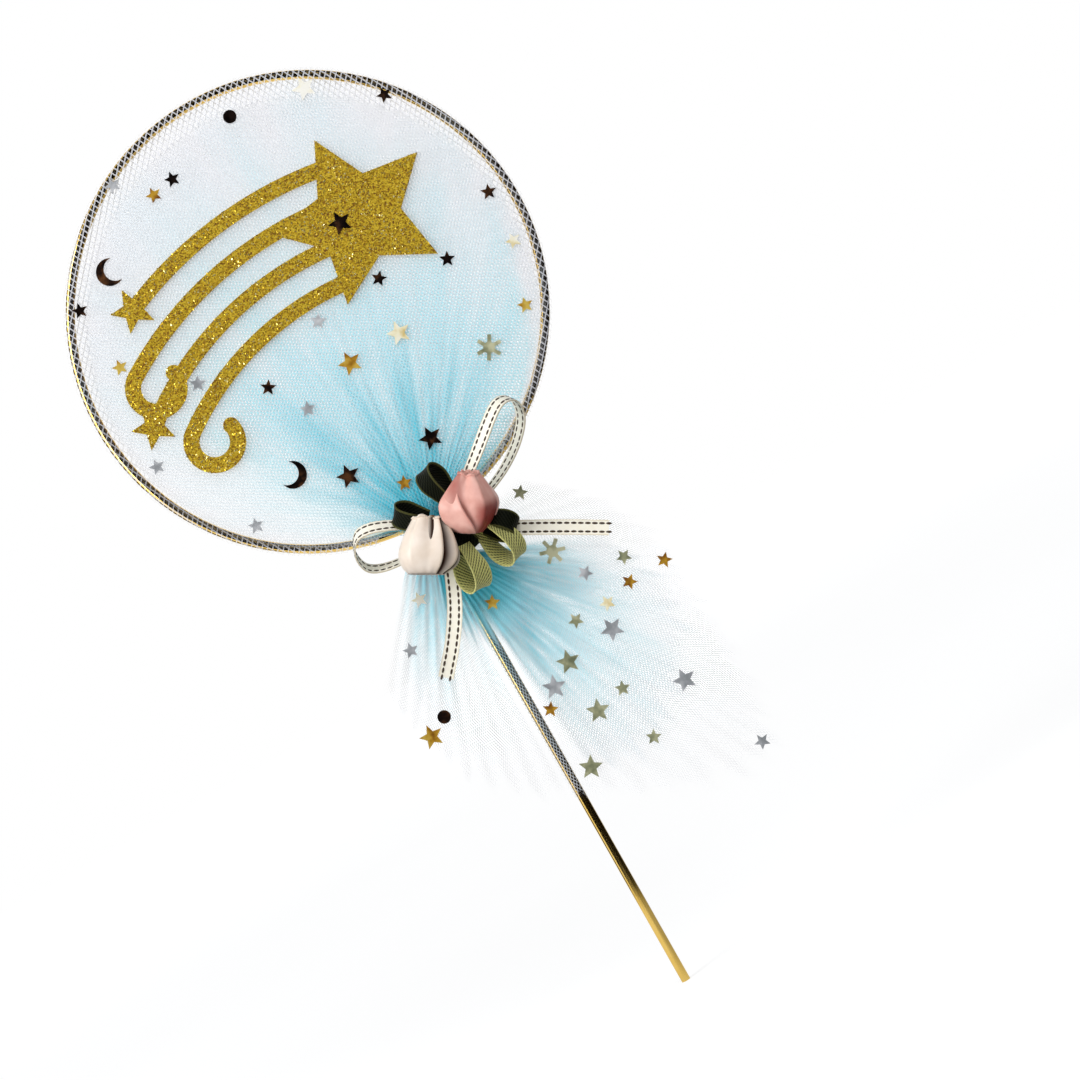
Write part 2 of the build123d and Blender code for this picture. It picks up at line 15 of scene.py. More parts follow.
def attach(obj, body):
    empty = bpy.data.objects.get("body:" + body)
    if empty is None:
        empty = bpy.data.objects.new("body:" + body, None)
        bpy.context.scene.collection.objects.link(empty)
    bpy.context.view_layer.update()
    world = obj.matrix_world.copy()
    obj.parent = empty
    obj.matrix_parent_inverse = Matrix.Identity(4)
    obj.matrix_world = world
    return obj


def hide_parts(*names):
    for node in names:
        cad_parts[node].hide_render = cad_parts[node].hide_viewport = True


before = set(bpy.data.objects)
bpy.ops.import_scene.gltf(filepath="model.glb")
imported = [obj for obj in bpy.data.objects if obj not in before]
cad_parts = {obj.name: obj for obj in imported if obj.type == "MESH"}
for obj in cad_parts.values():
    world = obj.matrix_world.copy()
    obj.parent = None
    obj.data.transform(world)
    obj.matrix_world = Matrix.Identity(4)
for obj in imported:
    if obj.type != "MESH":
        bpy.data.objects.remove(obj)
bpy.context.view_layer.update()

LOG = logging.getLogger("cake_topper")
MM = 0.001
BODY = "root"
SHARP_ANGLE = math.radians(45.0)
LINE_STEPS = 40
Pair = tuple[float, float]
Triple = tuple[float, float, float]
Place = Triple
Colour = Triple
Stops = Sequence[tuple[float, Colour]]
Array = np.ndarray
Socket = bpy.types.NodeSocket
Mesh = bpy.types.Mesh
Material = bpy.types.Material
Piece = bpy.types.Object

# Sizes and places that the pieces share, in millimetres of the CAD frame
HOOP_DIAMETER = 115.0
WIRE_DIAMETER = 2.2
HOOP_RADIUS = (HOOP_DIAMETER - WIRE_DIAMETER) / 2
HOOP_CENTRE = np.array([0.0, 0.0, 182.5])
TIE_TOP = 123.5
KNOT = np.array([3.0, -7.24, 121.0])
BOW_WIDTH = 3.6
LEAF_WIDTH = 5.5
VIEWER = np.array([0.0, -1.0, 0.0])


# ---- node helpers


class Nodes:
    """A node tree that is built call by call."""

    def __init__(self, tree: bpy.types.NodeTree) -> None:
        """Take the tree to build in."""
        self.tree = tree

    def node(self, kind: str, inputs: dict | None = None, **settings: object) -> bpy.types.Node:
        """Add a node.

        Args:
            kind: Blender's type of the node.
            inputs: Sockets to set or link, by name or number.
            settings: Properties of the node.

        Returns:
            The new node.
        """
        made = self.tree.nodes.new(kind)
        for key, value in settings.items():
            setattr(made, key, value)
        for key, value in (inputs or {}).items():
            self.feed(made.inputs[key], value)
        return made

    def feed(self, socket: Socket, value: object) -> None:
        """Link a socket to another one, or set its value.

        Args:
            socket: The input to fill.
            value: An output socket, a number or a colour.
        """
        if isinstance(value, Socket):
            self.tree.links.new(value, socket)
        elif isinstance(value, tuple) and socket.type == "RGBA" and len(value) == 3:
            socket.default_value = (*value, 1.0)
        else:
            socket.default_value = value

    def math(self, operation: str, *values: object) -> Socket:
        """Add a Math node and return its result."""
        return self.node("ShaderNodeMath", dict(enumerate(values)), operation=operation).outputs[0]

    def times(self, first: object, second: object) -> Socket:
        """The product of two values."""
        return self.math("MULTIPLY", first, second)


class Paint(Nodes):
    """A Principled material."""

    def __init__(self, name: str) -> None:
        """Start the material with nothing but its shader.

        Args:
            name: Name of the material.
        """
        self.material = bpy.data.materials.new(name)
        self.material.use_nodes = True
        super().__init__(self.material.node_tree)
        self.tree.nodes.clear()
        self.shader = self.node("ShaderNodeBsdfPrincipled")
        self.node("ShaderNodeOutputMaterial", {"Surface": self.shader.outputs["BSDF"]})

    def ramp(self, factor: object, stops: Stops) -> Socket:
        """Map a factor to a colour.

        Args:
            factor: Socket from 0 to 1.
            stops: Places and their colours.

        Returns:
            The colour's socket.
        """
        made = self.node("ShaderNodeValToRGB", {"Fac": factor})
        while len(made.color_ramp.elements) < len(stops):
            made.color_ramp.elements.new(1.0)
        for element, (place, colour) in zip(made.color_ramp.elements, stops):
            element.position = place
            element.color = (*colour, 1.0)
        return made.outputs["Color"]

    def span(self, value: object, low: float, high: float, to_low: float, to_high: float) -> Socket:
        """Map a range of a value to another range and clamp it."""
        sockets = {"Value": value, "From Min": low, "From Max": high, "To Min": to_low, "To Max": to_high}
        return self.node("ShaderNodeMapRange", sockets).outputs["Result"]

    def place(self) -> Socket:
        """The Object coordinates."""
        return self.node("ShaderNodeTexCoord").outputs["Object"]

    def uv(self, name: str) -> Socket:
        """A UV map of the piece."""
        return self.node("ShaderNodeUVMap", uv_map=name).outputs["UV"]

    def value(self, name: str) -> Socket:
        """A number that the piece's mesh carries."""
        return self.node("ShaderNodeAttribute", attribute_name=name).outputs["Fac"]

    def noise(self, vector: object, scale: float, detail: float = 2.0, rough: float = 0.5) -> Socket:
        """A noise value from 0 to 1."""
        sockets = {"Vector": vector, "Scale": scale, "Detail": detail, "Roughness": rough}
        return self.node("ShaderNodeTexNoise", sockets).outputs["Fac"]

    def mix(self, factor: object, first: object, second: object) -> Socket:
        """Mix two colours."""
        return self.node("ShaderNodeMix", {0: factor, 6: first, 7: second}, data_type="RGBA").outputs[2]

    def bump(self, height: object, strength: float, distance: float) -> None:
        """Raise the surface by a height from 0 to 1, which stands for the distance in metres."""
        made = self.node("ShaderNodeBump", {"Height": height, "Strength": strength, "Distance": distance})
        self.feed(self.shader.inputs["Normal"], made.outputs["Normal"])

    def set(self, **sockets: object) -> None:
        """Set or link sockets of the Principled shader, spaces written as underscores."""
        for key, value in sockets.items():
            self.feed(self.shader.inputs[key.replace("_", " ")], value)


# ---- finishes


@dataclass(frozen=True)
class WireFinish:
    """Polished gold-coloured wire with fine drawing lines."""

    colour: Colour = (0.83, 0.58, 0.17)
    worn: Colour = (0.68, 0.44, 0.09)  # Where it is duller
    roughness: float = 0.12

    def material(self) -> Material:
        """Build the material.

        Returns:
            The material.
        """
        paint = Paint("gold_wire")
        place = paint.place()
        cloud = paint.noise(place, 60.0, 3.0)
        lines = paint.node("ShaderNodeMapping", {"Vector": place, "Scale": (3000.0, 3000.0, 60.0)})
        drawn = paint.noise(lines.outputs["Vector"], 1.0, 2.0)
        paint.set(
            Base_Color=paint.ramp(cloud, [(0.3, self.worn), (0.65, self.colour)]),
            Metallic=1.0,
            Roughness=paint.span(drawn, 0.25, 0.75, self.roughness - 0.04, self.roughness + 0.07),
        )
        paint.bump(drawn, 0.05, 0.00002)
        return paint.material


@dataclass(frozen=True)
class NetFinish:
    """Net of thin threads in diamonds; where it is gathered, the folds fill the holes."""

    name: str
    colours: tuple[tuple[float, Colour], ...]  # By reach, from the neck to the rim
    pitch: float  # From thread to thread on the face
    thread_share: float  # Width of a thread as a share of the pitch
    thread_alpha: float  # How solid a thread looks on the face
    density: float  # How much a layer of gathered cloth hides
    turn: float  # Of the threads in the cloth, in radians
    rim_alpha: float  # How solid a thread looks on the wire
    rim_pitch: float = 1.25  # From thread to thread on the wire, where they show against the gold
    slant: float = math.radians(34.0)  # Of the threads, in radians
    pitch_change: Pair = (0.972, 0.974)  # Reach over which the pitch changes to the rim's
    rim_change: Pair = (0.965, 0.985)  # Reach over which the threads change to the rim's
    rim_end: Pair = (1.055, 1.075)  # Reach over which they are lost on the outside of the wire
    broad_folds: float = 9.0
    fine_folds: float = 38.0
    fold_stretch: float = 0.35  # How fast the folds change along their run, against across it

    def lattice(self, paint: Paint, reach: Socket) -> Socket:
        """Find the threads.

        Args:
            paint: The material.
            reach: Reach of the cloth.

        Returns:
            One on a thread and 0 in a hole.
        """
        turned = paint.node("ShaderNodeMapping", {"Vector": paint.uv("net"), "Rotation": (0.0, 0.0, self.turn)})
        axes = paint.node("ShaderNodeSeparateXYZ", {"Vector": turned.outputs["Vector"]})
        count = paint.span(reach, *self.pitch_change, 1.0 / (self.pitch * MM), 1.0 / (self.rim_pitch * MM))
        across = paint.times(axes.outputs["X"], count)
        along = paint.times(axes.outputs["Y"], count)
        threads = []
        for side in (1.0, -1.0):
            right = paint.times(across, math.cos(self.slant))
            up = paint.times(along, side * math.sin(self.slant))
            phase = paint.math("FRACT", paint.math("ADD", right, up))
            gap = paint.math("ABSOLUTE", paint.math("SUBTRACT", phase, 0.5))
            threads.append(paint.math("LESS_THAN", gap, self.thread_share / 2))
        return paint.math("MAXIMUM", *threads)

    def material(self) -> Material:
        """Build the material from the map net and the values ray, reach, gather and fade of the cloth.

        Returns:
            The material.
        """
        paint = Paint(self.name)
        ray, reach, gather = paint.value("ray"), paint.value("reach"), paint.value("gather")
        lattice = self.lattice(paint, reach)
        stretched = paint.times(reach, self.fold_stretch)
        rays = paint.node("ShaderNodeCombineXYZ", {"X": ray, "Y": stretched}).outputs["Vector"]
        broad = paint.noise(rays, self.broad_folds, 2.0, 0.6)
        fine = paint.noise(rays, self.fine_folds, 2.0, 0.6)
        streak = paint.math("ADD", paint.span(broad, 0.32, 0.68, 0.2, 1.3), paint.span(fine, 0.3, 0.7, 0.1, 0.5))
        # The folds hide what is behind them as a film does: each layer a share of what the others leave
        thick = paint.times(paint.times(gather, self.density), streak)
        film = paint.math("SUBTRACT", 1.0, paint.math("EXPONENT", paint.times(thick, -1.0)))
        strength = paint.span(reach, *self.rim_change, self.thread_alpha, self.rim_alpha)
        strength = paint.times(strength, paint.span(reach, *self.rim_end, 1.0, 0.12))
        thread = paint.times(lattice, strength)
        clear = paint.times(paint.math("SUBTRACT", 1.0, thread), paint.math("SUBTRACT", 1.0, film))
        solid = paint.times(paint.math("SUBTRACT", 1.0, clear), paint.value("fade"))
        shade = paint.math("SUBTRACT", reach, paint.span(broad, 0.3, 0.7, -0.1, 0.12))
        paint.set(
            Base_Color=paint.ramp(shade, self.colours),
            Roughness=0.55,
            Specular_IOR_Level=0.1,
            Alpha=solid,
        )
        paint.bump(lattice, 0.3, 0.0001)
        return paint.material


@dataclass(frozen=True)
class CardFinish:
    """Gold card under a coat of glitter, with painted glints and painted shade on its grains and flakes."""

    name: str = "glitter_card"
    dark: Colour = (0.2, 0.085, 0.004)  # Painted shade, for a grain that is turned away
    middle: Colour = (0.6, 0.37, 0.01)  # Most grains
    light: Colour = (0.88, 0.64, 0.05)  # Painted highlight, for a grain that is turned to the light
    spark: Colour = (0.98, 0.86, 0.4)  # Painted glint, for a flake that flashes
    grain: float = 3200.0  # Grains on a metre

    def material(self) -> Material:
        """Build the card's own material: grains of glitter in cells, each painted at random from painted shade to a
        painted highlight.

        Returns:
            The material.
        """
        paint = Paint(self.name)
        grains = paint.node("ShaderNodeTexVoronoi", {"Vector": paint.place(), "Scale": self.grain})
        # Painted glints and shade: each grain gets a tone at random, from turned away to turned to the light
        tone = paint.node("ShaderNodeSeparateColor", {"Color": grains.outputs["Color"]}).outputs["Red"]
        paint.set(
            Base_Color=paint.ramp(tone, [(0.1, self.dark), (0.45, self.middle), (0.9, self.light)]),
            Metallic=0.55,
            Roughness=paint.span(tone, 0.0, 1.0, 0.55, 0.3),
        )
        paint.bump(grains.outputs["Distance"], 0.5, 0.0001)
        return paint.material

    def flakes(self) -> Material:
        """Build the material of the glitter's flakes, each painted at random from painted shade to a painted glint.

        Returns:
            The material.
        """
        paint = Paint(self.name + "_flakes")
        tone = paint.value("spark")
        stops = [(0.05, self.dark), (0.35, self.middle), (0.8, self.light), (1.0, self.spark)]
        paint.set(
            Base_Color=paint.ramp(tone, stops),
            Metallic=0.75,
            Roughness=paint.span(tone, 0.0, 1.0, 0.45, 0.22),
        )
        return paint.material


class FoilTone(Enum):
    """The colours that the foil sequins come in, each as what it mirrors: dark, middle and light, painted into the
    foil's colour as painted reflections.
    """

    GOLD = ((0.24, 0.07, 0.01), (0.72, 0.39, 0.035), (0.97, 0.7, 0.14))
    DARK = ((0.006, 0.004, 0.004), (0.035, 0.018, 0.014), (0.3, 0.12, 0.045))
    SILVER = ((0.38, 0.4, 0.42), (0.58, 0.6, 0.63), (0.86, 0.87, 0.9))
    PALE = ((0.72, 0.55, 0.2), (0.95, 0.88, 0.62), (1.0, 0.98, 0.9))
    GREEN = ((0.22, 0.24, 0.14), (0.46, 0.47, 0.28), (0.8, 0.79, 0.52))


@dataclass(frozen=True)
class FoilFinish:
    """Mirror foil with soft dents, and painted reflections: patches of light and dark painted in its colour, as what
    each sequin mirrors.
    """

    tone: FoilTone
    metallic: float = 0.8  # How much of a mirror it is
    roughness: float = 0.22

    def material(self) -> Material:
        """Build the material.

        Returns:
            The material.
        """
        paint = Paint("foil_" + self.tone.name.lower())
        place = paint.place()
        patch = paint.noise(place, 420.0, 2.0, 0.55)
        piece = paint.noise(place, 55.0, 0.0)
        # Painted reflection: noise patches of dark, middle and light foil
        blend = paint.math("ADD", paint.times(patch, 0.65), paint.times(piece, 0.35))
        dark, middle, light = self.tone.value
        paint.set(
            Base_Color=paint.ramp(blend, [(0.36, dark), (0.5, middle), (0.64, light)]),
            Metallic=self.metallic,
            Roughness=self.roughness,
        )
        paint.bump(patch, 0.25, 0.0002)
        return paint.material


@dataclass(frozen=True)
class RibbonFinish:
    """Cream ribbon: fine cross ribs with painted shade between them, and a tan selvedge along both edges."""

    width: float
    cream: Colour = (1.0, 0.96, 0.84)
    shade: Colour = (0.86, 0.76, 0.52)  # Clouds in the cream
    tan: Colour = (0.5, 0.36, 0.14)  # Edges, and painted shade between the ribs
    rib: float = 0.22  # From rib to rib

    def material(self) -> Material:
        """Build the material from the ribbon's weave map.

        Returns:
            The material.
        """
        paint = Paint("cream_ribbon")
        weave = paint.uv("weave")
        axes = paint.node("ShaderNodeSeparateXYZ", {"Vector": weave})
        ribs = paint.math("SINE", paint.times(axes.outputs["Y"], math.tau / (self.rib * MM)))
        rise = paint.span(ribs, -1.0, 1.0, 0.0, 1.0)
        edge = paint.math("ABSOLUTE", axes.outputs["X"])
        half = self.width * MM / 2
        selvedge = paint.span(edge, half * 0.84, half * 0.96, 0.0, 0.45)
        cloud = paint.noise(paint.place(), 500.0, 3.0)
        ground = paint.mix(paint.span(cloud, 0.35, 0.8, 0.0, 0.22), self.cream, self.shade)
        # Painted shade: a little of the tan between the ribs
        ground = paint.mix(paint.span(rise, 0.0, 1.0, 0.1, 0.0), ground, self.tan)
        paint.set(
            Base_Color=paint.mix(selvedge, ground, self.tan),
            Roughness=paint.span(rise, 0.0, 1.0, 0.6, 0.42),
            Sheen_Weight=0.2,
        )
        paint.bump(rise, 0.4, 0.00004)
        return paint.material


@dataclass(frozen=True)
class StitchFinish:
    """Dark brown thread with its twist painted in: painted shade between its strands and painted highlight on them."""

    dark: Colour = (0.012, 0.006, 0.002)  # Painted shade, between its strands
    light: Colour = (0.1, 0.05, 0.012)  # Painted highlight, on its strands

    def material(self) -> Material:
        """Build the material.

        Returns:
            The material.
        """
        paint = Paint("stitch_thread")
        twist = paint.noise(paint.place(), 5000.0, 2.0)
        paint.set(Base_Color=paint.ramp(twist, [(0.35, self.dark), (0.75, self.light)]), Roughness=0.55)
        paint.bump(twist, 0.3, 0.00003)
        return paint.material


@dataclass(frozen=True)
class SatinFinish:
    """Satin ribbon: long floats that shine along the weave, with a painted sheen in its colour and painted shade in the
    creases.
    """

    name: str
    light: Colour  # Painted sheen, where it shines
    body: Colour
    crease: Colour  # Painted shade, deep in a crease, where it doesn't shine
    edge: Colour  # Cut edge

    def material(self) -> Material:
        """Build the material from the petals' weave map, the painted shade that the mesh carries and the rim values.

        Returns:
            The material.
        """
        paint = Paint(self.name)
        weave = paint.uv("weave")
        floats = paint.node("ShaderNodeMapping", {"Vector": weave, "Scale": (900.0, 9000.0, 1.0)})
        thread = paint.noise(floats.outputs["Vector"], 1.0, 2.0)
        cloud = paint.noise(paint.place(), 260.0, 3.0)
        # Painted sheen: clouds and floats painted in the light colour
        ground = paint.ramp(cloud, [(0.3, self.body), (0.7, self.light)])
        ground = paint.mix(paint.span(thread, 0.35, 0.75, 0.0, 0.12), ground, self.light)
        # Painted shade in the creases, at the foot and low on the right
        crease = paint.value("crease")
        ground = paint.mix(crease, ground, self.crease)
        paint.set(
            Base_Color=paint.mix(paint.value("rim"), ground, self.edge),
            Roughness=paint.span(thread, 0.3, 0.7, 0.3, 0.46),
            Specular_IOR_Level=paint.span(crease, 0.0, 1.0, 0.5, 0.1),
            Sheen_Weight=paint.span(crease, 0.0, 0.8, 0.35, 0.0),
            Sheen_Roughness=0.4,
            Anisotropic=0.4,
        )
        paint.bump(thread, 0.12, 0.00005)
        return paint.material


@dataclass(frozen=True)
class LeafFinish:
    """Leaf ribbon woven in slanting ribs over a darker ground, with a selvedge."""

    name: str
    rise: Colour  # On the ribs
    ground: Colour  # Between them
    shine: float
    edge: Colour  # Selvedge
    width: float = LEAF_WIDTH
    rib: float = 0.9  # From rib to rib
    slope: float = 0.8  # How far a rib climbs for each step across
    cross_share: float = 0.7  # Between the cross threads, as a share of the ribs' distance

    def material(self) -> Material:
        """Build the material from the ribbon's weave map.

        Returns:
            The material.
        """
        paint = Paint(self.name)
        axes = paint.node("ShaderNodeSeparateXYZ", {"Vector": paint.uv("weave")})
        across = axes.outputs["X"]
        slant = paint.math("ADD", axes.outputs["Y"], paint.times(across, self.slope))
        ribs = paint.math("SINE", paint.times(slant, math.tau / (self.rib * MM)))
        spacing = self.cross_share * self.rib * MM
        cross = paint.math("SINE", paint.times(across, math.tau / spacing))
        knots = paint.math("ADD", ribs, paint.times(cross, 0.45))
        rise = paint.span(knots, -1.2, 1.2, 0.0, 1.0)
        cloud = paint.noise(paint.place(), 900.0, 2.0)
        blend = paint.math("ADD", paint.times(rise, 0.75), paint.times(cloud, 0.25))
        half = self.width * MM / 2
        selvedge = paint.span(paint.math("ABSOLUTE", across), half * 0.8, half * 0.9, 0.0, 0.75)
        woven = paint.ramp(blend, [(0.22, self.ground), (0.5, self.rise)])
        paint.set(
            Base_Color=paint.mix(selvedge, woven, self.edge),
            Metallic=0.2,
            Roughness=paint.span(rise, 0.0, 1.0, 0.65, 0.42),
            Specular_IOR_Level=self.shine,
        )
        paint.bump(rise, 0.7, 0.00012)
        return paint.material


@dataclass(frozen=True)
class GlueFinish:
    """Set hot-melt glue: milky, smooth and slightly uneven."""

    colour: Colour = (0.86, 0.82, 0.7)
    cloudy: Colour = (0.72, 0.66, 0.5)

    def material(self) -> Material:
        """Build the material.

        Returns:
            The material.
        """
        paint = Paint("glue")
        cloud = paint.noise(paint.place(), 700.0, 3.0)
        paint.set(
            Base_Color=paint.ramp(cloud, [(0.3, self.cloudy), (0.7, self.colour)]),
            Roughness=paint.span(cloud, 0.3, 0.7, 0.18, 0.32),
            Subsurface_Weight=0.2,
        )
        paint.bump(cloud, 0.2, 0.0001)
        return paint.material


# ---- mesh helpers


@dataclass
class ClothGrid:
    """One sheet of cloth as rows and columns of points, in millimetres."""

    points: Array  # Places, rows by columns by 3
    net: Array  # Places in the flat cloth, rows by columns by 2
    ray: Array  # Place across the pleats, rows by columns
    reach: Array  # Share of the way from the neck to the far edge
    gather: Array  # How tightly the cloth is gathered
    fade: Array  # How much of the cloth shows


def add_object(name: str, mesh: Mesh, materials: Iterable[Material]) -> Piece:
    """Put a mesh in the scene.

    Args:
        name: Name of the piece.
        mesh: Its mesh, in metres of the CAD frame.
        materials: Its materials, first one first.

    Returns:
        The new object.
    """
    mesh.name = name
    made = bpy.data.objects.new(name, mesh)
    bpy.context.scene.collection.objects.link(made)
    for material in materials if not mesh.materials else ():
        mesh.materials.append(material)
    return made


def grid_faces(rows: int, columns: int, first: int) -> Array:
    """Corners of the faces of a grid of points.

    Args:
        rows: Rows of points.
        columns: Points in each row.
        first: Number of the grid's first point.

    Returns:
        Four point numbers for each face.
    """
    numbers = np.arange(rows * columns).reshape(rows, columns) + first
    corners = [numbers[:-1, :-1], numbers[:-1, 1:], numbers[1:, 1:], numbers[1:, :-1]]
    return np.stack(corners, axis=-1).reshape(-1, 4)


def quad_mesh(name: str, points: Array, faces: Array) -> Mesh:
    """Make a smooth mesh of four-cornered faces.

    Args:
        name: Name of the mesh.
        points: Places in millimetres.
        faces: Corners of each face.

    Returns:
        The mesh, in metres.
    """
    mesh = bpy.data.meshes.new(name)
    mesh.from_pydata((points * MM).tolist(), [], faces.tolist())
    mesh.polygons.foreach_set("use_smooth", np.ones(len(mesh.polygons), dtype=bool))
    return mesh


def set_uv(mesh: Mesh, name: str, places: Array) -> None:
    """Give a mesh a UV map from one place for each point.

    Args:
        mesh: The mesh.
        name: Name of the map.
        places: U and V in metres for each point.
    """
    layer = mesh.uv_layers.new(name=name)
    corner = np.empty(len(mesh.loops), dtype=np.int32)
    mesh.loops.foreach_get("vertex_index", corner)
    layer.data.foreach_set("uv", places[corner].astype(np.float32).ravel())


def set_value(mesh: Mesh, name: str, values: Array) -> None:
    """Give each point of a mesh a number."""
    layer = mesh.attributes.new(name, "FLOAT", "POINT")
    layer.data.foreach_set("value", values.astype(np.float32).ravel())


def smooth_line(points: Sequence[Sequence[float]], count: int) -> Array:
    """A smooth line through some points.

    Args:
        points: Points that it goes through.
        count: How many points to give back.

    Returns:
        Points on the line, evenly spaced.
    """
    knots = np.asarray(points, dtype=float)
    last = len(knots) - 2
    whole = np.arange(last * LINE_STEPS) / LINE_STEPS
    fine = through(knots, np.concatenate([whole, last + np.linspace(0.0, 1.0, LINE_STEPS)]))
    length = lengths(fine)
    even = np.linspace(0.0, length[-1], count)
    return np.stack([np.interp(even, length, fine[:, axis]) for axis in range(fine.shape[1])], axis=1)


def lengths(line: Array) -> Array:
    """Length of a line from its start to each of its points."""
    return np.concatenate([[0.0], np.cumsum(np.linalg.norm(np.diff(line, axis=0), axis=1))])


def through(corners: Array, places: Array) -> Array:
    """Points of a smooth curve through some corners.

    Args:
        corners: The corners.
        places: Places on the curve, counted in corners from the first.

    Returns:
        Points, one for each place.
    """
    padded = np.vstack([2 * corners[0] - corners[1], corners, 2 * corners[-1] - corners[-2]])
    part = np.minimum(places.astype(int), len(corners) - 2)
    step = (places - part)[:, None]
    a, b, c, d = (padded[part + shift] for shift in range(4))
    square, cube = (2 * a - 5 * b + 4 * c - d) * step**2, (3 * b - a - 3 * c + d) * step**3
    return 0.5 * (2 * b + (c - a) * step + square + cube)


def loop_line(half: Sequence[Pair], length: float, rounding: float, count: int) -> Array:
    """Points along and across a loop of ribbon, from shares of its length and its rounding on one side."""
    other = [(share, -rise) for share, rise in reversed(half[:-1])]
    return smooth_line([(share * length, rise * rounding) for share, rise in [*half, *other]], count)


def front_directions(angle: float) -> tuple[Array, Array]:
    """Directions along an angle in the front view, in degrees from the right, and to its left."""
    turn = math.radians(angle)
    return np.array([math.cos(turn), 0.0, math.sin(turn)]), np.array([-math.sin(turn), 0.0, math.cos(turn)])


def stand(name: str, data: bpy.types.ID, axes: Sequence[Array], place: Array) -> Piece:
    """Put a lamp or camera in the scene.

    Args:
        name: Name of the object.
        data: The lamp or camera.
        axes: Directions of its right, its top and its back.
        place: Its place, in millimetres.

    Returns:
        The new object.
    """
    made = bpy.data.objects.new(name, data)
    bpy.context.scene.collection.objects.link(made)
    placed = np.eye(4)
    placed[:3, :3] = np.column_stack(axes)
    placed[:3, 3] = place * MM
    made.matrix_world = Matrix(placed.tolist())
    return made


def unit(vectors: Array) -> Array:
    """Vectors of length one along the given ones."""
    return vectors / np.maximum(np.linalg.norm(vectors, axis=-1, keepdims=True), 1e-12)


def ease(values: Array) -> Array:
    """Ease shares from 0 to 1 in and out."""
    held = np.clip(values, 0.0, 1.0)
    return held * held * (3 - 2 * held)


def ripple(places: Array, waves: float, seed: int) -> Array:
    """A wave of uneven length and height, the same at every run.

    Args:
        places: Places along it, as shares.
        waves: About how many waves there are in a share of 1.
        seed: Which of many such waves.

    Returns:
        Heights, about -1 to 1.
    """
    chance = np.random.default_rng(seed)
    total = np.zeros_like(places)
    for octave, weight in ((0.61, 0.35), (1.0, 0.75), (1.43, 0.3)):
        turn, shift = chance.uniform(0.0, math.tau, 2)
        bend = 0.35 * np.sin(math.tau * places * waves * octave * 0.23 + shift)
        total += weight * np.sin(math.tau * places * waves * octave + turn + bend)
    return total / 1.2


def evaluated(source: Piece, name: str, materials: Iterable[Material]) -> Piece:
    """Turn an object with modifiers into a plain piece and remove the source.

    Args:
        source: The object with its modifiers.
        name: Name of the plain piece.
        materials: Materials of the plain piece.

    Returns:
        The plain piece.
    """
    graph = bpy.context.evaluated_depsgraph_get()
    mesh = bpy.data.meshes.new_from_object(source.evaluated_get(graph))
    bpy.data.objects.remove(source)
    return add_object(name, mesh, materials)


def settle(piece: Piece, slot: str, *nodes: str) -> Piece:
    """Tie a finished piece to the CAD body and hide the CAD nodes that it stands for.

    Args:
        piece: The piece.
        slot: Material slot of the record; not used.
        nodes: CAD nodes that it replaces.

    Returns:
        The piece.
    """
    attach(piece, BODY)
    if nodes:
        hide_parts(*nodes)
    return piece


# ---- Geometry Nodes


class NodeTree(Nodes):
    """A Geometry Nodes tree with named inputs, and the modifier that runs it."""

    def __init__(self, name: str) -> None:
        """Start a tree that takes and gives geometry.

        Args:
            name: Name of the tree.
        """
        super().__init__(bpy.data.node_groups.new(name, "GeometryNodeTree"))
        self.tree.interface.new_socket("Geometry", in_out="INPUT", socket_type="NodeSocketGeometry")
        self.tree.interface.new_socket("Geometry", in_out="OUTPUT", socket_type="NodeSocketGeometry")
        self.inlet = self.tree.nodes.new("NodeGroupInput")
        self.outlet = self.tree.nodes.new("NodeGroupOutput")
        self.values: dict[str, object] = {}

    def size(self, name: str, kind: str, value: object) -> Socket:
        """Add a named input.

        Args:
            name: Name of the input.
            kind: Blender's type of the socket.
            value: Its value in this script.

        Returns:
            The socket inside the tree.
        """
        socket = self.tree.interface.new_socket(name, in_out="INPUT", socket_type=kind)
        self.values[socket.identifier] = value
        return self.inlet.outputs[name]

    def finish(self, instances: Socket, material: Socket) -> None:
        """End the tree in Realize Instances and Set Material.

        Args:
            instances: What the tree has laid out.
            material: Input with the material.
        """
        real = self.node("GeometryNodeRealizeInstances", {"Geometry": instances})
        dressed = self.node("GeometryNodeSetMaterial", {"Geometry": real.outputs["Geometry"], "Material": material})
        self.tree.links.new(dressed.outputs["Geometry"], self.outlet.inputs["Geometry"])

    def run(self, source: Piece) -> None:
        """Put the tree on an object and set its inputs by their identifiers.

        Args:
            source: The object that it works on.
        """
        modifier = source.modifiers.new(self.tree.name, "NODES")
        modifier.node_group = self.tree
        for identifier, value in self.values.items():
            modifier[identifier] = value


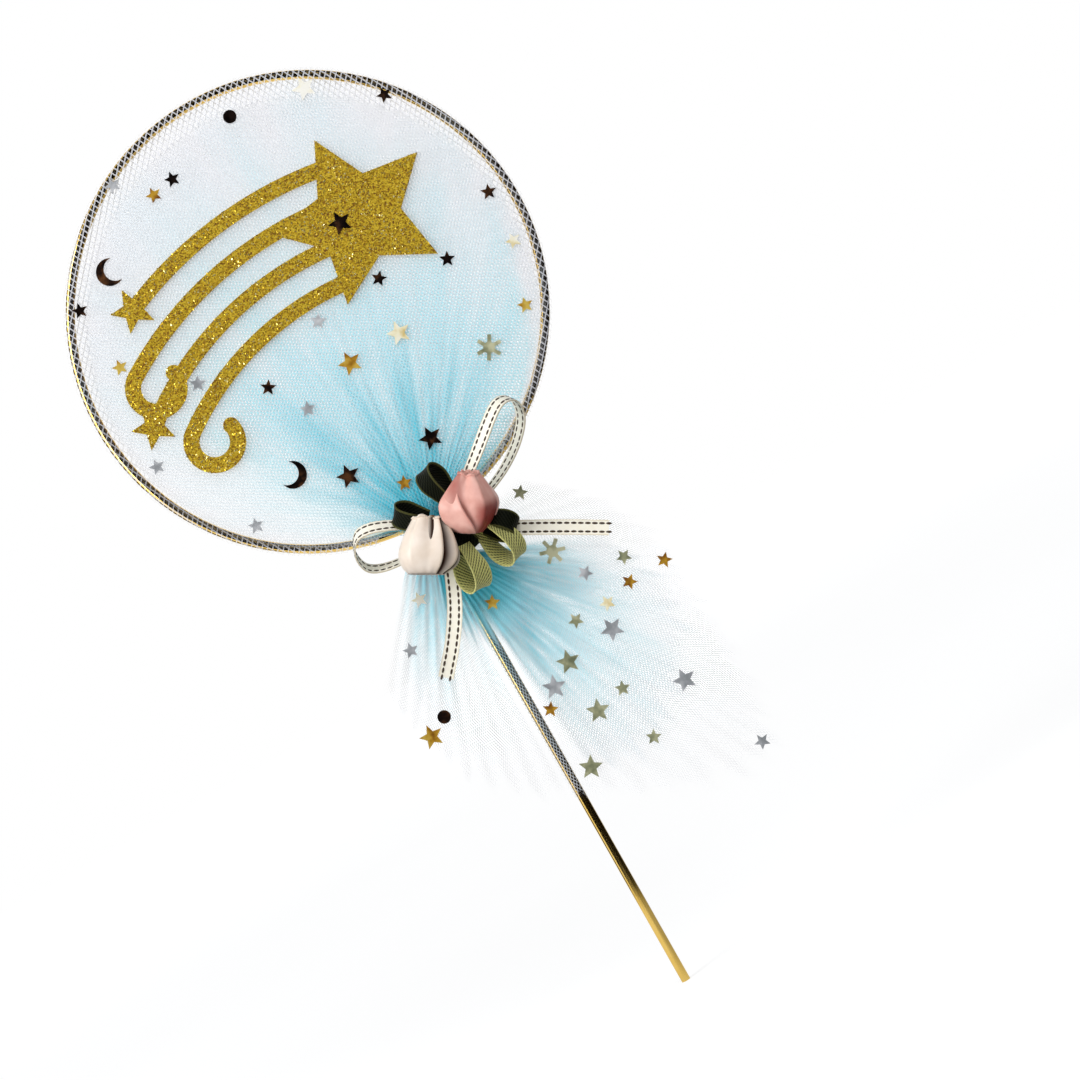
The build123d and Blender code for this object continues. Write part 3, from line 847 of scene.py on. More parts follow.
def stitch_tree(pitch: float, size: Triple, material: Material) -> NodeTree:
    """Make the tree that sews stitches along lines.

    Args:
        pitch: Distance from stitch to stitch, in millimetres.
        size: Length, width and height of a stitch, in millimetres.
        material: The thread.

    Returns:
        The tree. Its lines carry the vector lay, which points out of the ribbon.
    """
    tree = NodeTree("stitch_row")
    step = tree.size("Pitch", "NodeSocketFloat", pitch * MM)
    shape = tree.size("Stitch size", "NodeSocketVector", [side * MM for side in size])
    thread = tree.size("Thread", "NodeSocketMaterial", material)
    curve = tree.node("GeometryNodeMeshToCurve", {"Mesh": tree.inlet.outputs["Geometry"]})
    even = tree.node("GeometryNodeResampleCurve", {"Curve": curve.outputs["Curve"], "Length": step}, mode="LENGTH")
    ball = tree.node("GeometryNodeMeshUVSphere", {"Segments": 8, "Rings": 5, "Radius": 0.5})
    stitch = tree.node("GeometryNodeTransform", {"Geometry": ball.outputs["Mesh"], "Scale": shape})
    along = tree.node("GeometryNodeInputTangent")
    lay = tree.node("GeometryNodeInputNamedAttribute", {"Name": "lay"}, data_type="FLOAT_VECTOR")
    turn = tree.node("FunctionNodeAlignRotationToVector", {"Vector": along.outputs["Tangent"]}, axis="X")
    roll = tree.node(
        "FunctionNodeAlignRotationToVector",
        {"Rotation": turn.outputs["Rotation"], "Vector": lay.outputs["Attribute"]},
        axis="Z", pivot_axis="X",
    )
    sewn = tree.node(
        "GeometryNodeInstanceOnPoints",
        {"Points": even.outputs["Curve"], "Instance": stitch.outputs["Geometry"], "Rotation": roll.outputs["Rotation"]},
    )
    tree.finish(sewn.outputs["Instances"], thread)
    return tree


def glitter_tree(density: float, radius: float, tilt: float, seed: int, material: Material) -> NodeTree:
    """Make the tree that strews glitter on a face.

    Args:
        density: Flakes on each square millimetre.
        radius: Radius of a flake, in millimetres.
        tilt: Most that a flake tips up, in radians.
        seed: Seed of the strewing.
        material: The flakes' material, which reads each flake's random value for its painted glint.

    Returns:
        The tree.
    """
    tree = NodeTree("glitter_coat")
    count = tree.size("Density", "NodeSocketFloat", density / MM**2)
    size = tree.size("Flake radius", "NodeSocketFloat", radius * MM)
    lean = tree.size("Tilt", "NodeSocketVector", [tilt, tilt, math.pi])
    start = tree.size("Seed", "NodeSocketInt", seed)
    foil = tree.size("Foil", "NodeSocketMaterial", material)
    strewn = tree.node(
        "GeometryNodeDistributePointsOnFaces",
        {"Mesh": tree.inlet.outputs["Geometry"], "Density": count, "Seed": start},
    )
    depth = tree.times(size, 0.3)
    flake = tree.node("GeometryNodeMeshCylinder", {"Vertices": 6, "Radius": size, "Depth": depth}, fill_type="NGON")
    back = tree.node("ShaderNodeVectorMath", {0: lean, "Scale": -1.0}, operation="SCALE")
    tip = tree.node("FunctionNodeRandomValue", {0: back.outputs[0], 1: lean, "Seed": start}, data_type="FLOAT_VECTOR")
    turn = tree.node("FunctionNodeEulerToRotation", {"Euler": tip.outputs[0]})
    both = tree.node(
        "FunctionNodeRotateRotation",
        {"Rotation": strewn.outputs["Rotation"], "Rotate By": turn.outputs["Rotation"]},
        rotation_space="LOCAL",
    )
    scale = tree.node("FunctionNodeRandomValue", {2: 0.6, 3: 1.25, "Seed": start})
    laid = tree.node(
        "GeometryNodeInstanceOnPoints",
        {
            "Points": strewn.outputs["Points"], "Instance": flake.outputs["Mesh"],
            "Rotation": both.outputs["Rotation"], "Scale": scale.outputs[1],
        },
    )
    # Painted glint: a random value for each flake, which its material turns into a tone from painted shade to a flash
    glint = tree.node("FunctionNodeRandomValue", {2: 0.0, 3: 1.0, "Seed": start})
    named = tree.node(
        "GeometryNodeStoreNamedAttribute",
        {"Geometry": laid.outputs["Instances"], "Name": "spark", "Value": glint.outputs[1]},
        data_type="FLOAT", domain="INSTANCE",
    )
    tree.finish(named.outputs["Geometry"], foil)
    return tree


# ---- nets


@dataclass
class HangingEnd:
    """A pleated end of a net that hangs from the neck in panels."""

    roots: Sequence[Pair]  # Panel corners at the neck: across, height
    hems: Sequence[Pair]  # Panel corners at the hem: across, height
    folds: Sequence[int]  # Pleats in each panel
    root_depth: float  # How far in front of the stick the roots are
    hem_depth: float  # How far in front of the stick the hem is
    fold_share: float = 0.22  # Depth of a pleat as a share of half its width
    front: float = 0.24  # Added depth, to the face of its CAD solid
    shown: float = 1.0  # How much shows at the neck; more than 1 for threads that lie doubled
    fading: float = 0.3  # Share that is lost to sight towards the hem
    falling: float = 1.6  # How late this loss comes
    frayed: float = 0.16  # Share of the length over which the hem thins out
    spread: float = 0.2  # How tightly the hem is still gathered
    parted: float = 0.0  # Half width of a strip in front of the stick where the cloth thins out
    parting: float = 0.85  # How much is lost in this strip
    # Share of the length where the strip starts, and over which it comes in
    parted_from: Pair = (0.15, 0.2)
    hem_wave: float = 0.035  # How uneven the hem is, as a share of the length
    hem_short: float = 0.02  # How much it is cut short, as a share of the length
    wrinkle: float = 0.09  # Depth of the small wrinkles, as the pleats' is given
    fray_wave: float = 0.6  # How uneven the thinning at the hem is
    waves: Triple = (0.9, 2.3, 1.3)  # To a pleat: of the hem, of the wrinkles and of the thinning
    selvedge: float = 0.8  # Pleats over which a side edge thins out
    selvedge_from: float = 0.3  # Share of the length in which it starts to
    slack: float = 1.15  # Width of the flat cloth as a share of the hem's
    streak_pleats: float = 9.0  # Pleats in a unit of ray, on which the broad folds are drawn
    far_reach: float = 0.95  # Most reach, below the rim's
    tightest: float = 14.0  # Most that the cloth is gathered
    columns: int = 12  # Of points for each pleat
    rows: int = 44

    def column_places(self) -> Array:
        """Places of the columns, counted in pleats from the left edge."""
        return np.linspace(0.0, sum(self.folds), sum(self.folds) * self.columns + 1)

    def seen(self, points: Array, share: Array, shares: Array, seed: int) -> Array:
        """How much of the cloth shows.

        Args:
            points: Places, rows by columns by 3.
            share: Share of the way from the neck to the hem's panel line, rows by columns.
            shares: Share of the way to the hem itself for each row.
            seed: Seed of the thinning.

        Returns:
            The fade, rows by columns.
        """
        places = self.column_places()
        across, pleats = places / places[-1], places[-1]
        thin = self.frayed * (1.0 + self.fray_wave * ripple(across, self.waves[2] * pleats, seed))
        side = ease(np.minimum(across, 1.0 - across) * pleats / self.selvedge)[None]
        lost = self.fading * np.clip(share, 0.0, 1.0) ** self.falling
        fade = self.shown * (1.0 - lost) * ease((1.0 - shares)[:, None] / thin[None])
        fade = fade * (side + (1.0 - side) * ease((self.selvedge_from - share) / self.selvedge_from))
        start, over = self.parted_from
        strip = self.parting * ease(self.parted - np.abs(points[..., 0])) * ease((share - start) / over)
        return fade * (1.0 - strip)

    def build(self, seed: int) -> ClothGrid:
        """Lay out the sheet.

        Args:
            seed: Seed of the small wrinkles; the hem and its thinning take the next ones.

        Returns:
            The sheet, from the hem up.
        """
        places, shares = self.column_places(), np.linspace(1.0, 0.0, self.rows)
        folds = np.array(self.folds)
        ends = np.cumsum(folds)
        panel = np.minimum(np.searchsorted(ends, places, side="right"), len(folds) - 1)
        count = folds[panel]
        within = (places - (ends - folds)[panel]) / count
        lines, chords = [], []
        for edge, depth in ((self.roots, self.root_depth), (self.hems, self.hem_depth)):
            corners = np.asarray(edge, dtype=float)
            line = through(corners, panel + within)
            lines.append(np.column_stack([line[:, 0], np.full(len(places), -depth), line[:, 1]]))
            chords.append(np.linalg.norm(corners[panel + 1] - corners[panel], axis=1) / (2 * count))
        across, pleats = places / places[-1], places[-1]
        hem = 1.0 + self.hem_wave * ripple(across, self.waves[0] * pleats, seed + 1) - self.hem_short
        share = shares[:, None] * hem[None]
        points = lines[0][None] * (1 - share[..., None]) + lines[1][None] * share[..., None]
        chord = chords[0][None] * (1 - share) + chords[1][None] * share
        wave = np.sin(math.tau * within * count)
        small = ripple(across, self.waves[1] * pleats, seed)[None] * self.wrinkle * (1 - np.abs(wave))[None]
        points[..., 1] -= chord * (self.fold_share * wave[None] + small) + self.front
        fall = np.linalg.norm(lines[1] - lines[0], axis=1)
        net = np.stack(np.broadcast_arrays(lengths(lines[1])[None] * self.slack, share * fall[None]), axis=-1)
        ray = np.broadcast_to(places[None] / self.streak_pleats, share.shape)
        # The nearer to the neck, the tighter the cloth is gathered
        gather = np.clip(1.5 / np.maximum(share, 0.06) - 2.0, 0.0, self.tightest) + self.spread
        fade = self.seen(points, share, shares, seed + 2)
        return ClothGrid(points, net, ray, np.minimum(share, self.far_reach), gather, fade)


@dataclass
class WrappedNet:
    """One layer of net: over both faces of the hoop, round its rim, and gathered to the neck."""

    name: str
    node: str  # CAD node that it stands for
    slot: str  # Material slot of the record
    finish: NetFinish
    depth: float  # Distance from the hoop's middle plane
    neck_across: float  # Half width of the gathered neck
    neck_depth: float  # Half depth of the gathered neck
    neck_bottom: float  # Height of the neck's lower end
    pleats: float  # Over a face
    face_wave: float  # Depth of the pleats on a face, towards the inside
    neck_wave: float  # Depth of the pleats at the neck
    seed: int  # Seed of the pleats
    open_angle: float = 12.0  # Half of the angle at the neck that the net leaves open, in degrees
    neck_turn: float = 70.0  # How far half the neck goes round, in degrees
    pale: float = 0.5  # How much fainter the net is drawn on the left: painted light, as if light there washes it out
    light_washout_from: Pair = (0.3, 0.4)  # Share to the left where this starts, and over which it comes in
    shoulder: float = 7.0  # Height over the tie by which a ray has turned to the rim
    shoulder_share: float = 0.6  # Most of a ray's rise that this takes
    # How far out it is, as shares of the neck's and of the rim's distance
    shoulder_out: Pair = (1.15, 0.03)
    neck_rise: float = 10.5  # Height over the tie in which the depth changes to the face's
    neck_curve: float = 1.2  # How curved this is
    # Shares of a ray over which the pleats deepen, and flatten out again
    pleat_ends: Pair = (0.12, 0.55)
    opening: float = 0.55  # How the reach grows with the distance from the neck
    tightest: float = 10.0  # Most that a face is gathered
    # Heading of the fullest folds and their spread, in degrees to the right of upwards
    fullest: Pair = (12.0, 52.0)
    thinnest: float = 0.08  # Share of the folds that is left far from it
    # Share of the hoop's height where the headings start to differ, and over which they do
    thin_from: Pair = (0.08, 0.16)
    # Share of a ray where the reach starts to follow the ray, and over which it does
    plain_rim: Pair = (0.88, 0.08)
    # Heading to the left where it does so too, and over which it does, in degrees
    plain_left: Pair = (25.0, 30.0)
    neck_gather: float = 12.0
    neck_width: float = 40.0  # Half width of the flat cloth at the neck
    neck_steps: Pair = (2.0, 5.0)  # Rows of the neck's back, down from the tie's upper edge
    crowding: float = 1.35  # How much the rows of a face crowd at the neck
    face_rows: int = 46
    rim_rows: int = 8

    def turns(self, shares: Array) -> Array:
        """Where on the hoop the columns end, in radians from the right."""
        return np.radians(90.0 - shares * (180.0 - self.open_angle))

    def ring(self, shares: Array, height: float, side: float) -> Array:
        """Points of half the gathered neck at a height.

        Args:
            shares: Places from -1 at the left to 1 at the right.
            height: Height of the ring.
            side: -1 for the front half, 1 for the back half.

        Returns:
            Points, one for each share.
        """
        turn = np.radians(shares * self.neck_turn)
        swell = 1.0 + 0.5 * self.neck_wave / self.neck_depth * ripple(shares, self.pleats / 2, self.seed)
        return np.column_stack([
            self.neck_across * swell * np.sin(turn),
            side * self.neck_depth * swell * np.cos(turn),
            np.full(len(shares), height),
        ])

    def looks(self, points: Array, shares: Array, steps: Array) -> tuple[Array, Array, Array]:
        """How the net on a face looks.

        Args:
            points: Its places, rows by columns by 3.
            shares: Places of the columns from -1 at the left to 1 at the right.
            steps: Shares of the way from the neck to the rim for each row.

        Returns:
            Its reach, gather and fade, rows by columns.
        """
        away = points[..., [0, 2]] - [0.0, TIE_TOP]
        far = np.linalg.norm(away, axis=-1) / (2 * HOOP_RADIUS)
        opened = np.maximum(far, 1e-3) ** self.opening
        heading = np.degrees(np.arctan2(away[..., 0], away[..., 1]))
        middle, spread = self.fullest
        folds = self.thinnest + (1.0 - self.thinnest) * np.exp(-(((heading - middle) / spread) ** 2))
        folds = 1.0 + (folds - 1.0) * ease((far - self.thin_from[0]) / self.thin_from[1])
        gather = np.clip(1.0 / np.maximum(opened, 0.07) - 1.0, 0.0, self.tightest) * folds
        at_rim = ease((steps - self.plain_rim[0]) / self.plain_rim[1])[:, None]
        plain = np.maximum(at_rim, ease((-heading - self.plain_left[0]) / self.plain_left[1]))
        reach = opened + (steps[:, None] - opened) * plain
        # Painted light: the net is drawn fainter on the left, as if washed out by light from there
        fade = 1.0 - self.pale * ease((-shares - self.light_washout_from[0]) / self.light_washout_from[1])
        return reach, gather, np.broadcast_to(fade[None], gather.shape)

    def face(self, shares: Array, steps: Array, side: float) -> ClothGrid:
        """The net on one face of the hoop, in rays from the neck to the rim.

        Args:
            shares: Places from -1 at the left to 1 at the right.
            steps: Shares of the way from the neck to the rim.
            side: -1 for the front, 1 for the back.

        Returns:
            The sheet, one row for each step.
        """
        turn = self.turns(shares)
        rim = np.column_stack([
            HOOP_RADIUS * np.cos(turn), np.zeros(len(shares)), HOOP_CENTRE[2] + HOOP_RADIUS * np.sin(turn)
        ])
        root = self.ring(shares, TIE_TOP, side)
        guide = root * [self.shoulder_out[0], 0.0, 0.0] + rim * [self.shoulder_out[1], 0.0, 0.0]
        guide[:, 2] = TIE_TOP + np.minimum(self.shoulder, self.shoulder_share * (rim[:, 2] - TIE_TOP))
        t = steps[:, None, None]
        points = (1 - t) ** 2 * root[None] + 2 * t * (1 - t) * guide[None] + t**2 * rim[None]
        low = np.clip(1.0 - (points[..., 2] - TIE_TOP) / self.neck_rise, 0.0, 1.0)
        near = low**self.neck_curve * np.sqrt(1.0 - steps)[:, None]
        wave = ripple(shares, self.pleats / 2, self.seed)[None]
        start, end = ease(steps / self.pleat_ends[0])[:, None], ease((1 - steps) / self.pleat_ends[1])[:, None]
        inward = self.face_wave * (0.5 - 0.5 * wave) * start * end
        swell = near * 0.5 * self.neck_wave * wave
        out = self.depth + (np.abs(root[:, 1])[None] - self.depth) * near - inward * (1 - near) + swell
        points[..., 1] = side * out
        net = points[..., [0, 2]] - HOOP_CENTRE[[0, 2]]
        reach, gather, fade = self.looks(points, shares, steps)
        return ClothGrid(points, net, np.broadcast_to(shares[None], gather.shape), reach, gather, fade)

    def rim(self, shares: Array) -> ClothGrid:
        """The net round the rim, from the front face to the back face.

        Args:
            shares: Places from -1 at the left to 1 at the right.

        Returns:
            The sheet.
        """
        turn = self.turns(shares)
        roll = np.linspace(-90.0, 90.0, self.rim_rows + 2)[1:-1]
        reach = HOOP_RADIUS + self.depth * np.cos(np.radians(roll))
        points = np.stack([
            reach[:, None] * np.cos(turn)[None],
            np.broadcast_to(self.depth * np.sin(np.radians(roll))[:, None], (len(roll), len(shares))),
            HOOP_CENTRE[2] + reach[:, None] * np.sin(turn)[None],
        ], axis=-1)
        flat = HOOP_RADIUS + self.depth * np.radians(90.0 - np.abs(roll))
        net = np.stack([flat[:, None] * np.cos(turn)[None], flat[:, None] * np.sin(turn)[None]], axis=-1)
        ones = np.ones(points.shape[:2])
        # A reach of more than 1 tells the finish how far round the wire a thread is
        beyond = 1.0 + 0.1 * np.cos(np.radians(roll))[:, None]
        return ClothGrid(points, net, ones * shares[None], ones * beyond, ones * 0.0, ones)

    def neck(self, shares: Array, heights: Sequence[float], side: float) -> ClothGrid:
        """Half of the gathered neck below the tie's upper edge.

        Args:
            shares: Places from -1 at the left to 1 at the right.
            heights: Heights of its rows.
            side: -1 for the front half, 1 for the back half.

        Returns:
            The sheet.
        """
        points = np.stack([self.ring(shares, height, side) for height in heights])
        ones = np.ones(points.shape[:2])
        net = np.stack([ones * shares[None] * self.neck_width, points[..., 2] - TIE_TOP], axis=-1)
        return ClothGrid(points, net, ones * shares[None], ones * 0.0, ones * self.neck_gather, ones)

    def veil(self, shares: Array, front_heights: Sequence[float]) -> list[ClothGrid]:
        """The sheet from the front of the neck over the hoop to the back of the neck.

        Args:
            shares: Places of its columns.
            front_heights: Heights of the neck's rows in front, from below.

        Returns:
            Sheets whose rows follow one another.
        """
        steps = np.linspace(0.0, 1.0, self.face_rows) ** self.crowding
        back_heights = [*(TIE_TOP - step for step in self.neck_steps), self.neck_bottom]
        return [
            self.neck(shares, front_heights, -1.0),
            self.face(shares, steps, -1.0),
            self.rim(shares),
            self.face(shares, steps[::-1], 1.0),
            self.neck(shares, back_heights, 1.0),
        ]

    def piece(self, sheets: Sequence[Sequence[ClothGrid]]) -> Piece:
        """Make one piece of the net's sheets.

        Args:
            sheets: Each a list of grids whose rows follow one another.

        Returns:
            The piece, tied to the CAD body, with its CAD node hidden.
        """
        faces, first = [], 0
        for grids in sheets:
            rows, columns = sum(len(grid.points) for grid in grids), grids[0].points.shape[1]
            faces.append(grid_faces(rows, columns, first))
            first += rows * columns
        every = [grid for grids in sheets for grid in grids]
        points = np.concatenate([grid.points.reshape(-1, 3) for grid in every])
        mesh = quad_mesh(self.name, points, np.concatenate(faces))
        set_uv(mesh, "net", np.concatenate([grid.net.reshape(-1, 2) for grid in every]) * MM)
        for key in ("ray", "reach", "gather", "fade"):
            set_value(mesh, key, np.concatenate([getattr(grid, key).ravel() for grid in every]))
        made = add_object(self.name, mesh, [self.finish.material()])
        # The polished wire mirrors the room and not the net that lies on it
        made.visible_glossy = False
        return settle(made, self.slot, self.node)


@dataclass
class Nets:
    """The two layers of net."""

    width: float = 125.0  # Of the cut cloth: the hoop and a margin on each side
    hoop: float = HOOP_DIAMETER  # Outer diameter
    wire: float = WIRE_DIAMETER  # Diameter
    neck: float = 9.0  # Length of cloth that the neck takes up
    star_fall: float = 81.0  # Length of the star net's hanging end
    blue_fall: float = 74.0  # Length of the blue net's hanging end
    blue_columns: int = 241  # Of points over the hoop

    def flat(self, fall: float) -> Pair:
        """Width and length of a cut for both faces of the hoop, the neck and a hanging end, in metres."""
        return self.width * MM, (2 * self.hoop + self.neck + fall) * MM

    def star_net(self) -> WrappedNet:
        """The outer, almost colourless net.

        Returns:
            The layer of net.
        """
        finish = NetFinish(
            "star_net",
            ((0.0, (0.02, 0.46, 0.6)), (0.2, (0.2, 0.66, 0.78)), (0.55, (0.76, 0.87, 0.92)), (1.0, (0.84, 0.84, 0.88))),
            pitch=0.74, thread_share=0.24, thread_alpha=0.46, density=0.03, turn=0.12, rim_alpha=0.6,
        )
        return WrappedNet(
            "star_net", "star_tulle", "star_net", finish, depth=1.7, neck_across=5.55, neck_depth=5.05,
            neck_bottom=115.5, pleats=34, face_wave=0.12, neck_wave=0.7, seed=11,
        )

    def blue_net(self) -> WrappedNet:
        """The inner, blue net.

        Returns:
            The layer of net.
        """
        finish = NetFinish(
            "blue_net",
            (
                (0.0, (0.0, 0.22, 0.33)), (0.1, (0.002, 0.41, 0.56)), (0.3, (0.05, 0.62, 0.77)),
                (0.6, (0.38, 0.8, 0.9)), (1.0, (0.82, 0.84, 0.9)),
            ),
            pitch=0.72, thread_share=0.26, thread_alpha=0.5, density=0.42, turn=-0.45, rim_alpha=0.03,
        )
        return WrappedNet(
            "blue_net", "blue_tulle", "blue_net", finish, depth=1.36, neck_across=3.6, neck_depth=3.15,
            neck_bottom=113.0, pleats=40, face_wave=0.55, neck_wave=0.5, seed=23,
        )

    def build(self) -> list[Piece]:
        """Returns:
            The pieces.
        """
        star, blue = self.star_net(), self.blue_net()
        skirt = HangingEnd(
            roots=[
                (-8.8, 118.6), (-2.9, 116.8), (-0.52, 116.38), (1.04, 116.38), (2.6, 116.74), (4.42, 118.04),
                (4.84, 118.87),
            ],
            hems=[
                (-29.16, 95.13), (-22.68, 68.4), (4.86, 45.72), (45.36, 36.0), (50.22, 74.88), (42.93, 104.04),
                (24.3, 124.29),
            ],
            folds=[5, 6, 6, 6, 5, 4], root_depth=4.3, hem_depth=9.0, fading=0.45, frayed=0.08, parted=3.0, columns=10,
        )
        over_stick = HangingEnd(
            roots=[(-1.8, 113.0), (1.8, 113.0)], hems=[(-2.3, 49.4), (2.3, 48.6)], folds=[2],
            root_depth=3.4, hem_depth=1.5, shown=1.2, fading=0.0, frayed=0.02, spread=0.0, columns=8,
        )
        places = skirt.column_places()
        veil = star.veil(places / places[-1] * 2 - 1, [119.0, 121.0, 122.4])
        star_piece = star.piece([[skirt.build(5), *veil], [over_stick.build(6)]])

        left = HangingEnd(
            roots=[(-7.4, 116.4), (-0.82, 114.17)], hems=[(-26.64, 95.26), (-19.98, 69.36)], folds=[4],
            root_depth=-2.5, hem_depth=-6.5, front=0.15, shown=0.55, fading=0.3, frayed=0.25, spread=0.8,
        )
        right = HangingEnd(
            roots=[(0.33, 114.17), (0.98, 114.17), (1.64, 114.34), (2.62, 114.99)],
            hems=[(3.7, 50.86), (24.42, 47.9), (45.88, 74.54), (37.0, 103.4)], folds=[4, 5, 4],
            root_depth=-2.5, hem_depth=-6.5, front=0.15, fading=0.25, frayed=0.14, spread=0.4,
        )
        apron = HangingEnd(
            roots=[(-3.2, 114.2), (-1.0, 113.2), (1.2, 113.2), (3.4, 114.2)],
            hems=[(-9.0, 100.0), (-3.0, 90.0), (9.0, 87.0), (21.0, 98.0)], folds=[4, 5, 5],
            root_depth=3.0, hem_depth=3.9, front=0.1, fading=1.0, falling=4.0, frayed=0.4, spread=4.5, rows=24,
        )
        sheets = [blue.veil(np.linspace(-1.0, 1.0, self.blue_columns), [113.0, 117.0, 121.0])]
        sheets += [[end.build(40 + number)] for number, end in enumerate((left, right, apron))]
        blue_piece = blue.piece(sheets)
        return [star_piece, blue_piece]


# ---- ribbons


@dataclass
class RibbonRun:
    """A run of ribbon along a line."""

    line: Array  # Points along its middle, in millimetres
    across: Array  # Direction of its width at each point
    width: float
    pinch: Pair = (1.0, 1.0)  # Share of the width that is left at its two ends
    thickness: float = 0.3
    columns: int = 9  # Of points across it
    cup: float = 0.0  # How far its edges stand out of its face
    closed: bool = False  # Whether it closes on itself
    widening: float = 0.35  # Share of the run over which it widens from a pinched end

    def frames(self) -> tuple[Array, Array, Array]:
        """Work out the run's frames.

        Returns:
            Directions across and out of the face, and the half width, at each point.
        """
        if self.closed:
            along = unit(np.roll(self.line, -1, axis=0) - np.roll(self.line, 1, axis=0))
        else:
            along = unit(np.gradient(self.line, axis=0))
        out = unit(np.cross(along, self.across))
        across = unit(np.cross(out, along))
        share = np.linspace(0.0, 1.0, len(self.line))
        start = self.pinch[0] + (1 - self.pinch[0]) * ease(share / self.widening)
        end = self.pinch[1] + (1 - self.pinch[1]) * ease((1 - share) / self.widening)
        return across, out, self.width / 2 * np.minimum(start, end)

    def mesh(self, name: str) -> Mesh:
        """Build the ribbon as a closed strip with its weave map.

        Args:
            name: Name of the mesh.

        Returns:
            The mesh.
        """
        across, out, half = self.frames()
        side = np.linspace(-1.0, 1.0, self.columns)
        bow = self.cup * (side**2)[None, :, None] * out[:, None]
        middle = self.line[:, None] + side[None, :, None] * half[:, None, None] * across[:, None] + bow
        lift = self.thickness / 2 * out[:, None]
        section = np.concatenate([middle + lift, (middle - lift)[:, ::-1]], axis=1)
        rows, columns = section.shape[:2]
        u = np.concatenate([side, side[::-1]]) * self.width / 2
        numbers = np.arange(rows * columns).reshape(rows, columns)
        if self.closed:
            numbers = np.vstack([numbers, numbers[:1]])
        ring = np.column_stack([numbers, numbers[:, :1]])
        corners = [ring[:-1, :-1], ring[1:, :-1], ring[1:, 1:], ring[:-1, 1:]]
        faces = np.stack(corners, axis=-1).reshape(-1, 4)
        if not self.closed:
            caps = []
            for row, turn in ((0, 1), (rows - 1, -1)):
                for step in range(self.columns - 1):
                    cap = [numbers[row, step], numbers[row, step + 1],
                           numbers[row, columns - 2 - step], numbers[row, columns - 1 - step]]
                    caps.append(cap[::turn])
            faces = np.vstack([faces, caps])
        mesh = quad_mesh(name, section.reshape(-1, 3), faces)
        places = np.stack(np.broadcast_arrays(u[None], lengths(self.line)[:, None]), axis=-1).reshape(-1, 2)
        set_uv(mesh, "weave", places * MM)
        mesh.set_sharp_from_angle(angle=SHARP_ANGLE)
        return mesh

    def sewing_lines(self, offset: float) -> Mesh:
        """Lines for the stitches along both edges of both faces.

        Args:
            offset: Distance of the lines from the ribbon's middle.

        Returns:
            A mesh of edges whose points carry the vector lay.
        """
        across, out, half = self.frames()
        points, edges, lays = [], [], []
        for face in (1.0, -1.0):
            for side in (1.0, -1.0):
                shift = side * offset * 2 * half / self.width
                bow = self.cup * (offset * 2 / self.width) ** 2
                line = self.line + across * shift[:, None] + out * (face * self.thickness / 2 + bow)
                first = sum(len(part) for part in points)
                count = len(line)
                pairs = [(first + step, first + step + 1) for step in range(count - 1)]
                edges += pairs + ([(first + count - 1, first)] if self.closed else [])
                points.append(line)
                lays.append(face * out)
        mesh = bpy.data.meshes.new("sewing_lines")
        mesh.from_pydata((np.concatenate(points) * MM).tolist(), edges, [])
        layer = mesh.attributes.new("lay", "FLOAT_VECTOR", "POINT")
        layer.data.foreach_set("vector", np.concatenate(lays).astype(np.float32).ravel())
        return mesh


